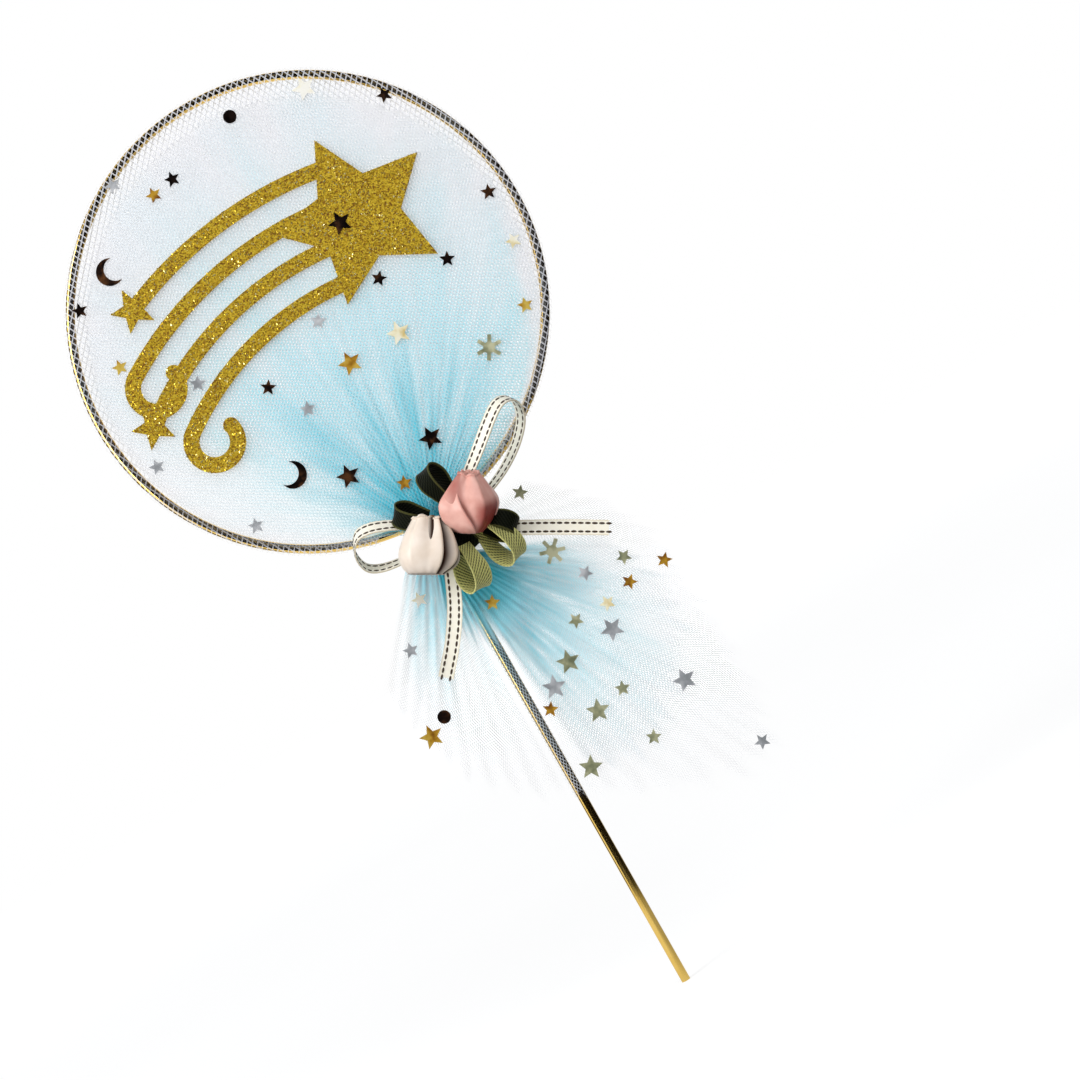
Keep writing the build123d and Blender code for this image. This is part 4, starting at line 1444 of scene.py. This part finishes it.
@dataclass
class Bow:
    """The bow of cream ribbon: a band round the neck, a knot, two loops and two tails."""

    width: float = BOW_WIDTH
    root: float = 2.4  # Distance from the knot's middle where loops and tails start
    pinch: float = 0.72  # Share of the width that is left there
    # One side of a loop: shares of its length and of its rounding
    loop_half: Sequence[Pair] = ((0.0, 0.35), (0.2, 0.6), (0.5, 0.92), (0.76, 1.0), (0.93, 0.75), (1.0, 0.0))
    tail_arch: float = 0.372  # How far a tail's middle arches off the net, as a share of its lift
    tail_roll: Pair = (14.0, -6.0)  # At its start and at its end, in degrees
    tail_cup: float = 0.12  # How far its edges stand out of its face
    band_half: Pair = (6.05, 5.56)  # Half width and half depth, to the ribbon's middle
    band_thickness: float = 0.42
    knot_half: Triple = (0.25, 1.12, 2.1)  # Half width, half depth and half height, to the ribbon's middle
    knot_slope: float = 0.12  # How much its width slopes upwards
    knot_thickness: float = 0.36
    knot_cup: float = -0.2  # How far its edges stand out of its face
    line_offset: float = 1.0  # Of the stitches from the ribbon's middle
    stitch_pitch: float = 1.6  # From stitch to stitch
    stitch: Triple = (1.5, 0.6, 0.2)  # Length, width and height
    finish: RibbonFinish = RibbonFinish(BOW_WIDTH)

    def loop(self, angle: float, length: float, rounding: float, lean: float, twist: float, sway: float) -> RibbonRun:
        """A loop, leaning so that its face and its opening both show.

        Args:
            angle: Angle in the front view, in degrees.
            length: Length from the knot to the far end.
            rounding: Half of the opening at its widest.
            lean: How far the opening turns to the viewer, in degrees.
            twist: How far the ribbon turns over its run, in degrees.
            sway: How far its middle bends sideways.

        Returns:
            The run of ribbon.
        """
        along, side = front_directions(angle)
        tip = math.radians(lean)
        wide = side * math.cos(tip) + VIEWER * math.sin(tip)
        opening = VIEWER * math.cos(tip) - side * math.sin(tip)
        flat = loop_line(self.loop_half, length, rounding, 90)
        bend = sway * np.sin(flat[:, :1] / length * math.pi)
        line = KNOT + along * self.root + flat[:, :1] * along + flat[:, 1:] * opening + bend * side
        roll = np.radians(np.sin(np.linspace(0.0, math.tau, len(line))) * twist)[:, None]
        return RibbonRun(line, wide * np.cos(roll) + opening * np.sin(roll), self.width, (self.pinch, self.pinch))

    def tail(self, angle: float, length: float, lift: float, sway: float) -> RibbonRun:
        """A tail that arches off the net and is cut square.

        Args:
            angle: Angle in the front view, in degrees.
            length: Length from the knot.
            lift: How far its end comes forward.
            sway: How far its middle bends sideways.

        Returns:
            The run of ribbon.
        """
        along, side = front_directions(angle)
        shares = np.array([0.0, 0.25, 0.5, 0.75, 1.0])
        arch = np.sin(shares * math.pi)
        rise = lift * (shares + shares**2) / 2 + lift * self.tail_arch * arch
        knots = KNOT + along * self.root + np.outer(shares * length, along)
        line = smooth_line(knots + np.outer(sway * arch, side) + np.outer(rise, VIEWER), 60)
        roll = np.radians(np.linspace(*self.tail_roll, len(line)))[:, None]
        across = side * np.cos(roll) + VIEWER * np.sin(roll)
        return RibbonRun(line, across, self.width, (self.pinch, 1.0), cup=self.tail_cup)

    def band(self) -> RibbonRun:
        """The turns of ribbon round the gathered neck.

        Returns:
            The run of ribbon.
        """
        turn = np.linspace(0.0, math.tau, 96, endpoint=False)
        wide, deep = self.band_half
        line = np.column_stack([wide * np.cos(turn), deep * np.sin(turn), np.full(len(turn), KNOT[2])])
        across = np.tile([0.0, 0.0, 1.0], (len(turn), 1))
        return RibbonRun(line, across, self.width, thickness=self.band_thickness, closed=True)

    def knot(self) -> RibbonRun:
        """The turn of ribbon that ties the loops and tails together.

        Returns:
            The run of ribbon.
        """
        turn = np.linspace(0.0, math.tau, 64, endpoint=False)
        wide, deep, tall = self.knot_half
        line = KNOT + np.column_stack([wide * np.cos(turn), -deep * np.cos(turn), tall * np.sin(turn)])
        across = np.tile([1.0, 0.0, self.knot_slope], (len(turn), 1))
        return RibbonRun(line, across, self.width, thickness=self.knot_thickness, cup=self.knot_cup, closed=True)

    def build(self) -> list[Piece]:
        """Build the runs of ribbon and sew their edges.

        Returns:
            The pieces.
        """
        runs = {
            "neck_band": self.band(),
            "bow_knot": self.knot(),
            "bow_loop_upper": self.loop(angle=33.4, length=32.3, rounding=5.5, lean=-44.0, twist=10.0, sway=-2.0),
            "bow_loop_side": self.loop(angle=165.0, length=19.4, rounding=6.2, lean=50.0, twist=-8.0, sway=0.0),
            "bow_tail_side": self.tail(angle=-28.5, length=36.0, lift=3.0, sway=0.4),
            "bow_tail_lower": self.tail(angle=-119.0, length=32.0, lift=3.0, sway=2.2),
        }
        cloth = self.finish.material()
        thread = StitchFinish().material()
        tree = stitch_tree(self.stitch_pitch, self.stitch, thread)
        pieces = []
        for name, run in runs.items():
            ribbon = add_object(name + "_ribbon", run.mesh(name + "_ribbon"), [cloth])
            pieces.append(settle(ribbon, "cream_ribbon", name))
            source = add_object("sewing_lines", run.sewing_lines(self.line_offset), [])
            tree.run(source)
            pieces.append(settle(evaluated(source, name + "_stitches", [thread]), "cream_ribbon"))
        return pieces


# ---- rosebuds and leaves


@dataclass(frozen=True)
class Petal:
    """One wrap of a rolled ribbon bud."""

    start: float  # Where its free edge is at half height, in degrees round the bud; -90 is the front
    slant: float  # How far this edge turns from the foot to the lip, in degrees
    sweep: float  # How far the wrap goes round from it, in degrees
    radius: float  # At its largest
    height: float  # Of its lip
    flare: float = 0.0  # How far its free edge stands off
    low_right_shadow: float = 0.0  # How much painted shadow it has low on the right


@dataclass
class Rosebud:
    """A bud rolled from satin ribbon, in wraps that overlap and draw in to the lip."""

    name: str  # Of the CAD node
    slot: str  # Material slot of the record
    finish: SatinFinish
    foot: Place  # Its middle
    axis: Place  # From the foot to the lip
    across: Place  # Direction of the bud's wide side
    squash: float  # Depth as a share of the width
    petals: Sequence[Petal]  # The wraps, from the inside
    corners: float  # Of a wrap, where the ribbon is folded
    phase: float  # Where the first corner is, in degrees
    crisp: float  # How crisp the corners are, 0 to 1
    foot_share: float  # Radius of the foot as a share of the largest
    lip_share: float  # Radius of the lip as a share of the largest
    belly: float  # Height of the largest radius as a share of the height
    shadow: float  # How far the painted shadow under a free edge reaches, in degrees
    deep: float  # How deep the dye looks in this crease
    seed: int  # Of the dents and puckers
    thickness: float = 0.32
    dent: Pair = (0.3, 0.4)  # Depth in a wrap and in its lip
    dent_angle: float = 60.0  # About from dent to dent, in degrees
    pucker: float = 0.16  # Depth at the foot and at the lip
    pucker_angle: float = 21.0  # About from pucker to pucker, in degrees
    # How dark the painted shade at the foot is, and the share of the height over which this is lost
    painted_foot_shade: Pair = (0.5, 0.06)
    low_right_shadow_span: Pair = (-84.0, 60.0)  # Where the painted shadow low on the right lies, in degrees round the bud
    low_right_shadow_top: float = 0.58  # Share of the height up to which it lies
    columns: int = 84
    rows: int = 32

    def outline(self, petal: Petal) -> Array:
        """Section of a wrap from its foot to its rolled lip.

        Args:
            petal: The wrap.

        Returns:
            Radius and height for each row of points.
        """
        foot, lip = self.foot_share * petal.radius, self.lip_share * petal.radius
        # Shares of the way out to the largest radius, and of the height below it or above it
        lower, upper = ((0.0, 0.0), (0.7, 0.4), (1.0, 1.0)), ((0.62, 0.5), (0.14, 0.88))
        section = [(foot + out * (petal.radius - foot), up * self.belly) for out, up in lower]
        section += [(lip + out * (petal.radius - lip), self.belly + up * (1.0 - self.belly)) for out, up in upper]
        section += [(lip, 0.99), (lip + 0.3, 1.0), (lip + 0.5, 0.965)]
        return smooth_line([(radius, up * petal.height) for radius, up in section], self.rows)

    def painted_shading(self, number: int, turn: Array, high: Array) -> Array:
        """How much painted shade a wrap has.

        Args:
            number: Number of the wrap from the inside.
            turn: Degrees round the bud, rows by columns.
            high: Share of the height for each row.

        Returns:
            Values from 0 to 1, rows by columns.
        """
        depth, height = self.painted_foot_shade
        # Painted shade: at the foot, under the next wrap's free edge, and low on the right
        crease = depth * np.exp(-high / height) * np.ones_like(turn)
        if number + 1 < len(self.petals):
            over = self.petals[number + 1]
            past = np.mod(turn - over.start - over.slant * (high - 0.5) + 180.0, 360.0) - 180.0
            past = past * -math.copysign(1.0, over.sweep)
            under = self.deep * np.exp(-((np.maximum(past, 0.0) / self.shadow) ** 2))
            crease = np.maximum(crease, under * ease((past + 45.0) / 30.0))
        start, end = self.low_right_shadow_span
        low_right = ease((turn - start) / 30.0) * ease((end - turn) / 20.0) * ease((self.low_right_shadow_top - high) / 0.16)
        return np.clip(np.maximum(crease, self.petals[number].low_right_shadow * low_right), 0.0, 1.0)

    def wrap(self, number: int) -> tuple[Array, Array, Array, Array]:
        """Lay out one wrap.

        Args:
            number: Its number from the inside.

        Returns:
            Points in the bud's own frame, weave map, painted shade values and rim values.
        """
        petal = self.petals[number]
        share = np.linspace(0.0, 1.0, self.columns)[None]
        high = np.linspace(0.0, 1.0, self.rows)[:, None]
        turn = petal.start + petal.slant * (high - 0.5) * (1.0 - share) + petal.sweep * share
        outline = self.outline(petal)
        part = 360.0 / self.corners
        offset = np.radians(np.mod(turn - self.phase, part) - part / 2)
        corner = math.cos(math.radians(part / 2)) / np.cos(offset)
        facet = 1.0 + self.crisp * (corner - corner.mean()) * ease(high / 0.3)
        edge = ease((0.1 - share) / 0.1)
        dent = ripple(share, abs(petal.sweep) / self.dent_angle, self.seed + number)
        radius = outline[:, :1] * facet + petal.flare * edge * ease(high / 0.25) + self.dent[0] * dent * high
        pucker = ripple(share, abs(petal.sweep) / self.pucker_angle, self.seed + 40 + number)
        radius = radius + self.pucker * pucker * (np.exp(-high / 0.16) + 0.6 * np.exp((high - 1.0) / 0.12))
        height = outline[:, 1:] + self.dent[1] * dent * high**2
        around = np.radians(turn)
        points = np.stack([radius * np.cos(around), radius * np.sin(around) * self.squash, height], axis=-1)
        weave = np.stack(np.broadcast_arrays(
            share * petal.radius * math.radians(abs(petal.sweep)), high * petal.height * 1.2
        ), axis=-1)
        rim = 0.3 * ease((high - 0.93) / 0.07) + 0.5 * ease((0.03 - share) / 0.03)
        return points, weave, self.painted_shading(number, turn, high), np.clip(rim, 0.0, 1.0)

    def build(self) -> Piece:
        """Build the bud.

        Returns:
            The piece.
        """
        up = unit(np.array(self.axis))
        right = unit(np.array(self.across) - up * np.dot(self.across, up))
        turned = np.stack([right, np.cross(up, right), up])
        wraps = [self.wrap(number) for number in range(len(self.petals))]
        size = self.rows * self.columns
        faces = [grid_faces(self.rows, self.columns, number * size) for number in range(len(wraps))]
        points, weave, crease, rim = (
            np.concatenate([layer.reshape(size, -1) for layer in layers]) for layers in zip(*wraps)
        )
        mesh = quad_mesh(self.name, points @ turned + np.array(self.foot), np.concatenate(faces))
        set_uv(mesh, "weave", weave * MM)
        set_value(mesh, "crease", crease)
        set_value(mesh, "rim", rim)
        source = add_object(self.name + "_satin", mesh, [])
        wall = source.modifiers.new("wall", "SOLIDIFY")
        wall.thickness = self.thickness * MM
        wall.offset = 0.0
        made = evaluated(source, self.name + "_satin", [self.finish.material()])
        return settle(made, self.slot, self.name)


@dataclass(frozen=True)
class LeafLoop:
    """A loop of leaf ribbon."""

    start: Place  # Where it leaves the bud
    angle: float  # In the front view, in degrees
    length: float
    rounding: float  # Half of its opening
    lean: float  # How far its opening turns to the viewer, in degrees
    dark: bool  # Whether it takes the near-black copy of the leaf ribbon, painted shade for a loop in shadow


@dataclass
class Leaves:
    """The ribbon under a bud, folded in loops."""

    name: str  # Of the CAD node
    loops: Sequence[LeafLoop]
    width: float = LEAF_WIDTH
    thickness: float = 0.32
    pinch: Pair = (0.7, 0.7)  # Share of the width that is left where a loop starts and ends
    cup: float = 0.25  # How far its edges stand out of its face
    # One side of a loop: shares of its length and of its rounding
    loop_half: Sequence[Pair] = ((0.0, 0.5), (0.3, 0.8), (0.62, 1.0), (0.88, 0.72), (1.0, 0.0))

    def run(self, loop: LeafLoop) -> RibbonRun:
        """Lay out one loop.

        Args:
            loop: The loop.

        Returns:
            The run of ribbon.
        """
        along, side = front_directions(loop.angle)
        lean = math.radians(loop.lean)
        opening = VIEWER * math.cos(lean) + side * math.sin(lean)
        wide = side * math.cos(lean) - VIEWER * math.sin(lean)
        flat = loop_line(self.loop_half, loop.length, loop.rounding, 64)
        line = np.array(loop.start) + flat[:, :1] * along + flat[:, 1:] * opening
        across = np.tile(wide, (len(line), 1))
        return RibbonRun(line, across, self.width, self.pinch, thickness=self.thickness, cup=self.cup)

    def build(self, gold: Material, dark: Material) -> Piece:
        """Build the loops as one piece.

        Args:
            gold: Material of the gold ribbon.
            dark: Material of the leaf ribbon painted near black, as painted shade.

        Returns:
            The piece.
        """
        joined = bmesh.new()
        for number, loop in enumerate(self.loops):
            mesh = self.run(loop).mesh(f"{self.name}_{number}")
            before = len(joined.faces)
            joined.from_mesh(mesh)
            joined.faces.ensure_lookup_table()
            for face in joined.faces[before:]:
                face.material_index = 1 if loop.dark else 0
            bpy.data.meshes.remove(mesh)
        whole = bpy.data.meshes.new(self.name)
        joined.to_mesh(whole)
        joined.free()
        whole.set_sharp_from_angle(angle=SHARP_ANGLE)
        made = add_object(self.name + "_ribbon", whole, [gold, dark])
        return settle(made, "leaf_ribbon", self.name)


@dataclass
class Posy:
    """The two rosebuds and the leaf ribbon under them."""

    up: Place = (0.4927, 0.0, 0.8702)  # Direction of the buds in the front view
    right: Place = (0.8702, 0.0, -0.4927)  # To the right of it

    def cream(self) -> Rosebud:
        """The cream bud, with a broad front and its wraps ending one after the other on the right.

        Returns:
            The bud.
        """
        finish = SatinFinish(
            "cream_satin", (0.97, 0.85, 0.74), (0.86, 0.72, 0.59), (0.03, 0.01, 0.004), (0.7, 0.54, 0.36)
        )
        petals = [
            Petal(60.0, slant=0.0, sweep=320.0, radius=4.6, height=12.2),
            Petal(-6.0, slant=8.0, sweep=-284.0, radius=6.3, height=12.6, flare=1.1),
            Petal(-31.0, slant=8.0, sweep=-276.0, radius=6.6, height=13.0, flare=1.0),
            Petal(-58.0, slant=12.0, sweep=-266.0, radius=7.0, height=13.2, flare=0.6),
        ]
        return Rosebud(
            "cream_rosebud", "cream_satin", finish, (-5.1, -15.6, 114.0), (self.up[0], 0.06, self.up[2]), self.right,
            0.8, petals, corners=4.0, phase=-30.0, crisp=0.65, foot_share=0.62, lip_share=0.5, belly=0.36, shadow=19.0,
            deep=1.25, seed=3,
        )

    def pink(self) -> Rosebud:
        """The pink bud, with the free edge of its last wrap slanting across the front.

        Returns:
            The bud.
        """
        finish = SatinFinish(
            "pink_satin", (0.88, 0.5, 0.42), (0.7, 0.31, 0.25), (0.24, 0.01, 0.005), (0.72, 0.27, 0.21)
        )
        petals = [
            Petal(40.0, slant=0.0, sweep=330.0, radius=4.4, height=13.4),
            Petal(-30.0, slant=60.0, sweep=275.0, radius=6.0, height=13.7, flare=0.3),
            Petal(-150.0, slant=-20.0, sweep=262.0, radius=6.4, height=13.7, flare=0.2, low_right_shadow=0.9),
            Petal(-104.0, slant=-80.0, sweep=-240.0, radius=6.8, height=12.7, flare=0.5),
        ]
        return Rosebud(
            "pink_rosebud", "pink_satin", finish, (8.1, -14.4, 118.1), (self.up[0], -0.22, self.up[2]), self.right,
            0.9, petals, corners=4.0, phase=-60.0, crisp=0.8, foot_share=0.5, lip_share=0.3, belly=0.5, shadow=9.0,
            deep=0.55, seed=8,
        )

    def build(self) -> list[Piece]:
        """Build the buds and the leaves.

        Returns:
            The pieces.
        """
        gold = LeafFinish(
            "leaf_gold", rise=(0.68, 0.66, 0.24), ground=(0.06, 0.07, 0.012), shine=0.5, edge=(0.6, 0.58, 0.2)
        ).material()
        # The same leaf ribbon painted near black: painted shade for the loops that lie in shadow
        dark = LeafFinish(
            "leaf_painted_shade", rise=(0.01, 0.012, 0.006), ground=(0.001, 0.002, 0.001), shine=0.08, edge=(0.1, 0.1, 0.03)
        ).material()
        under_cream = Leaves("cream_bud_leaves", [
            LeafLoop((1.0, -12.6, 125.0), angle=140.0, length=8.0, rounding=1.9, lean=40.0, dark=True),
            LeafLoop((4.0, -11.8, 121.5), angle=-70.0, length=8.0, rounding=1.0, lean=8.0, dark=True),
            LeafLoop((4.2, -12.8, 116.0), angle=-93.0, length=10.8, rounding=3.0, lean=42.0, dark=False),
        ])
        under_pink = Leaves("pink_bud_leaves", [
            LeafLoop((7.9, -12.6, 126.6), angle=103.0, length=9.2, rounding=2.3, lean=42.0, dark=True),
            LeafLoop((11.3, -12.8, 118.6), angle=-73.0, length=12.0, rounding=3.4, lean=44.0, dark=False),
            LeafLoop((10.8, -11.8, 119.2), angle=-40.0, length=9.2, rounding=2.7, lean=34.0, dark=True),
        ])
        return [
            under_cream.build(gold, dark), under_pink.build(gold, dark), self.cream().build(), self.pink().build()
        ]


# ---- card, foil and wire


@dataclass
class Trimmings:
    """The hard pieces that come from the CAD model as they are: wire, card, foil and glue."""

    flake_density: float = 3.4  # On each square millimetre
    flake_radius: float = 0.2
    flake_tilt: float = 0.5  # Most that a flake tips up, in radians
    seed: int = 7  # Of the strewing

    def dress(self, node: str, material: Material) -> Piece:
        """Give a CAD node its finish.

        Args:
            node: Name of the node.
            material: Its material.

        Returns:
            The piece.
        """
        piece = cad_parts[node]
        piece.data.materials.clear()
        piece.data.materials.append(material)
        return piece

    def glitter(self, finish: CardFinish) -> Piece:
        """Strew glitter on the front of the ornament card.

        Args:
            finish: Finish of the card.

        Returns:
            The flakes as one piece.
        """
        face = bmesh.new()
        face.from_mesh(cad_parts["ornament_card"].data)
        bmesh.ops.remove_doubles(face, verts=face.verts, dist=1e-7)
        behind = [part for part in face.faces if part.normal.y > -0.9]
        bmesh.ops.delete(face, geom=behind, context="FACES")
        mesh = bpy.data.meshes.new("card_front")
        face.to_mesh(mesh)
        face.free()
        source = add_object("card_front", mesh, [])
        flakes = finish.flakes()
        glitter_tree(self.flake_density, self.flake_radius, self.flake_tilt, self.seed, flakes).run(source)
        return settle(evaluated(source, "ornament_glitter", [flakes]), "glitter_card")

    def build(self) -> list[Piece]:
        """Dress the nodes and strew the glitter.

        Returns:
            The pieces.
        """
        card = CardFinish()
        pieces = [
            self.dress("hoop_and_stick", WireFinish().material()),
            self.dress("glue_dab", GlueFinish().material()),
            self.dress("ornament_card", card.material()),
        ]
        mirror = {FoilTone.PALE: 0.15, FoilTone.SILVER: 0.4, FoilTone.GREEN: 0.4, FoilTone.GOLD: 0.45}
        foils = {tone: FoilFinish(tone, mirror.get(tone, FoilFinish.metallic)).material() for tone in FoilTone}
        # Foil that mirrors the dark room takes the dark tone, as the moons of gold foil do: a painted dark reflection
        sequins = {
            "gold_stars": (FoilTone.GOLD, "gold_foil"), "dark_stars": (FoilTone.DARK, "dark_foil"),
            "silver_stars": (FoilTone.SILVER, "silver_foil"), "pale_stars": (FoilTone.PALE, "pale_foil"),
            "green_stars": (FoilTone.GREEN, "green_foil"), "foil_moons": (FoilTone.DARK, "gold_foil"),
            "foil_dots": (FoilTone.DARK, "dark_foil"), "foil_snowflakes": (FoilTone.GREEN, "green_foil"),
            "card_star": (FoilTone.DARK, "dark_foil"),
        }
        pieces += [self.dress(node, foils[tone]) for node, (tone, slot) in sequins.items()]
        return [*pieces, self.glitter(card)]


# ---- stage


@dataclass(frozen=True)
class Lamp:
    """A soft box."""

    name: str
    place: Place
    aim: Place  # The place that it faces
    size: Pair  # Width and height
    power: float  # In watts

    def build(self) -> None:
        """Put the lamp in the scene."""
        light = bpy.data.lights.new(self.name, "AREA")
        light.shape = "RECTANGLE"
        light.size, light.size_y = self.size[0] * MM, self.size[1] * MM
        light.energy = self.power
        back = unit(np.array(self.place) - np.array(self.aim))
        right = unit(np.cross([0.0, 0.0, 1.0], back))
        stand(self.name, light, [right, np.cross(back, right), back], np.array(self.place))


@dataclass
class Stage:
    """Floor, light and camera."""

    tilt: float = 29.518  # How far the camera is rolled, in degrees
    aim: Pair = (21.3, 108.1)  # Where it looks: across, height
    view_width: float = 256.6  # Width of the view at the topper
    lens: float = 85.0
    sensor: float = 36.0
    floor_half: float = 4000.0
    floor_drop: float = 0.05  # How far it is below the stick's end
    floor_glow: Pair = (0.7, 0.86)  # Near the stick, and far off
    glow_reach: Pair = (0.1, 1.6)  # Between which distances this changes, in metres
    floor_dim: float = 0.7  # How much darker mirrors see it on the right, as a painted dark reflection
    dim_reach: Pair = (-0.02, 0.05)  # Between which places across this comes in, in metres
    # In degrees round the topper from the front
    flag_spans: tuple[Pair, ...] = ((-128.0, -94.0), (-58.0, 128.0))
    # Radius, height and shift to the back of its edges and its bend
    flag_rings: tuple[Triple, ...] = ((165.0, 1.0, 0.0), (165.0, 420.0, 0.0), (40.0, 540.0, 120.0))
    lamps: tuple[Lamp, ...] = (
        Lamp("key", (-760.0, -560.0, 560.0), aim=(10.0, 0.0, 560.0), size=(420.0, 1080.0), power=8.5),
        Lamp("fill", (350.0, -1100.0, 900.0), aim=(10.0, 0.0, 140.0), size=(900.0, 700.0), power=7.4),
    )

    def white_where_seen(self, nodes: Nodes) -> Socket:
        """One where a surface is seen directly, in a mirror or through something clear.

        Args:
            nodes: The node tree to add to.

        Returns:
            The socket.
        """
        path = nodes.node("ShaderNodeLightPath")
        seen = path.outputs["Is Camera Ray"]
        for name in ("Is Glossy Ray", "Is Transmission Ray"):
            seen = nodes.math("MAXIMUM", seen, path.outputs[name])
        return seen

    def world(self) -> None:
        """A white surround that lights softly."""
        world = bpy.data.worlds.new("studio")
        bpy.context.scene.world = world
        world.use_nodes = True
        nodes = Nodes(world.node_tree)
        nodes.tree.nodes.clear()
        fill = nodes.node("ShaderNodeBackground", {"Color": (0.95, 0.97, 1.0), "Strength": 0.4})
        white = nodes.node("ShaderNodeBackground", {"Color": (1.0, 1.0, 1.0), "Strength": 1.0})
        mix = nodes.node("ShaderNodeMixShader", {
            "Fac": self.white_where_seen(nodes), 1: fill.outputs["Background"], 2: white.outputs["Background"],
        })
        nodes.node("ShaderNodeOutputWorld", {"Surface": mix.outputs["Shader"]})

    def floor(self) -> None:
        """A plain white floor that keeps a soft shadow near the stick, and that mirrors see darker on the right, as a
        painted dark reflection.
        """
        paint = Paint("floor")
        away = paint.node("ShaderNodeVectorMath", {0: paint.place()}, operation="LENGTH").outputs["Value"]
        glow = paint.span(away, *self.glow_reach, *self.floor_glow)
        side = paint.node("ShaderNodeSeparateXYZ", {"Vector": paint.place()}).outputs["X"]
        # Painted dark reflection: mirrors see the floor darker on the right
        mirrored = paint.node("ShaderNodeLightPath").outputs["Is Glossy Ray"]
        dim = paint.times(mirrored, paint.span(side, *self.dim_reach, 0.0, self.floor_dim))
        seen = paint.times(self.white_where_seen(paint), paint.math("SUBTRACT", 1.0, dim))
        grain = paint.noise(paint.place(), 3.0)
        paint.set(
            Base_Color=paint.ramp(grain, [(0.3, (0.4, 0.4, 0.4)), (0.7, (0.42, 0.42, 0.42))]),
            Roughness=0.9,
            Specular_IOR_Level=0.0,
            Emission_Color=(1.0, 1.0, 1.0),
            Emission_Strength=paint.times(glow, seen),
        )
        around = ((-1.0, -1.0), (1.0, -1.0), (1.0, 1.0), (-1.0, 1.0))
        corners = [(x * self.floor_half, y * self.floor_half, -self.floor_drop) for x, y in around]
        mesh = quad_mesh("floor", np.array(corners), np.array([[0, 1, 2, 3]]))
        add_object("floor", mesh, [paint.material])

    def flag(self) -> None:
        """A black studio flag round the front of the topper, with a slit on the left, which only mirrors see."""
        paint = Paint("flag")
        cloud = paint.noise(paint.place(), 2.0)
        paint.set(
            Base_Color=paint.ramp(cloud, [(0.3, (0.008, 0.006, 0.005)), (0.7, (0.016, 0.012, 0.01))]),
            Roughness=0.9, Specular_IOR_Level=0.0,
        )
        points, faces = [], []
        for start, end in self.flag_spans:
            turn = np.radians(np.linspace(start, end, 20))
            first = sum(len(ring) for ring in points)
            for radius, height, back in self.flag_rings:
                ring = [radius * np.sin(turn), back - radius * np.cos(turn), np.full(len(turn), height)]
                points.append(np.column_stack(ring))
            faces.append(grid_faces(len(self.flag_rings), len(turn), first))
        corners, faces = np.concatenate(points), np.concatenate(faces)
        made = add_object("flag", quad_mesh("flag", corners, faces), [paint.material])
        made.visible_camera = made.visible_diffuse = made.visible_shadow = False
        made.visible_transmission = made.visible_volume_scatter = False

    def camera(self) -> None:
        """The camera, square on to the front and rolled as in the photograph."""
        data = bpy.data.cameras.new("camera")
        data.lens = self.lens
        data.sensor_width = self.sensor
        data.clip_start, data.clip_end = 0.01, 50.0
        right, up = front_directions(-self.tilt)
        distance = self.view_width * self.lens / self.sensor
        place = np.array([self.aim[0], -distance, self.aim[1]])
        bpy.context.scene.camera = stand("camera", data, [right, up, VIEWER], place)

    def build(self) -> None:
        """Set the stage."""
        scene = bpy.context.scene
        scene.view_settings.view_transform = "Standard"
        scene.cycles.transparent_max_bounces = 48
        self.world()
        self.floor()
        self.flag()
        for lamp in self.lamps:
            lamp.build()
        self.camera()


def main() -> None:
    """Build the topper piece by piece, then the stage, and note the sizes."""
    logging.basicConfig(level=logging.INFO, format="%(name)s %(message)s")
    for assembly in (Trimmings(), Nets(), Bow(), Posy()):
        for piece in assembly.build():
            LOG.info("piece %s: %d faces", piece.name, len(piece.data.polygons))
    Stage().build()


if __name__ == "__main__":
    main()
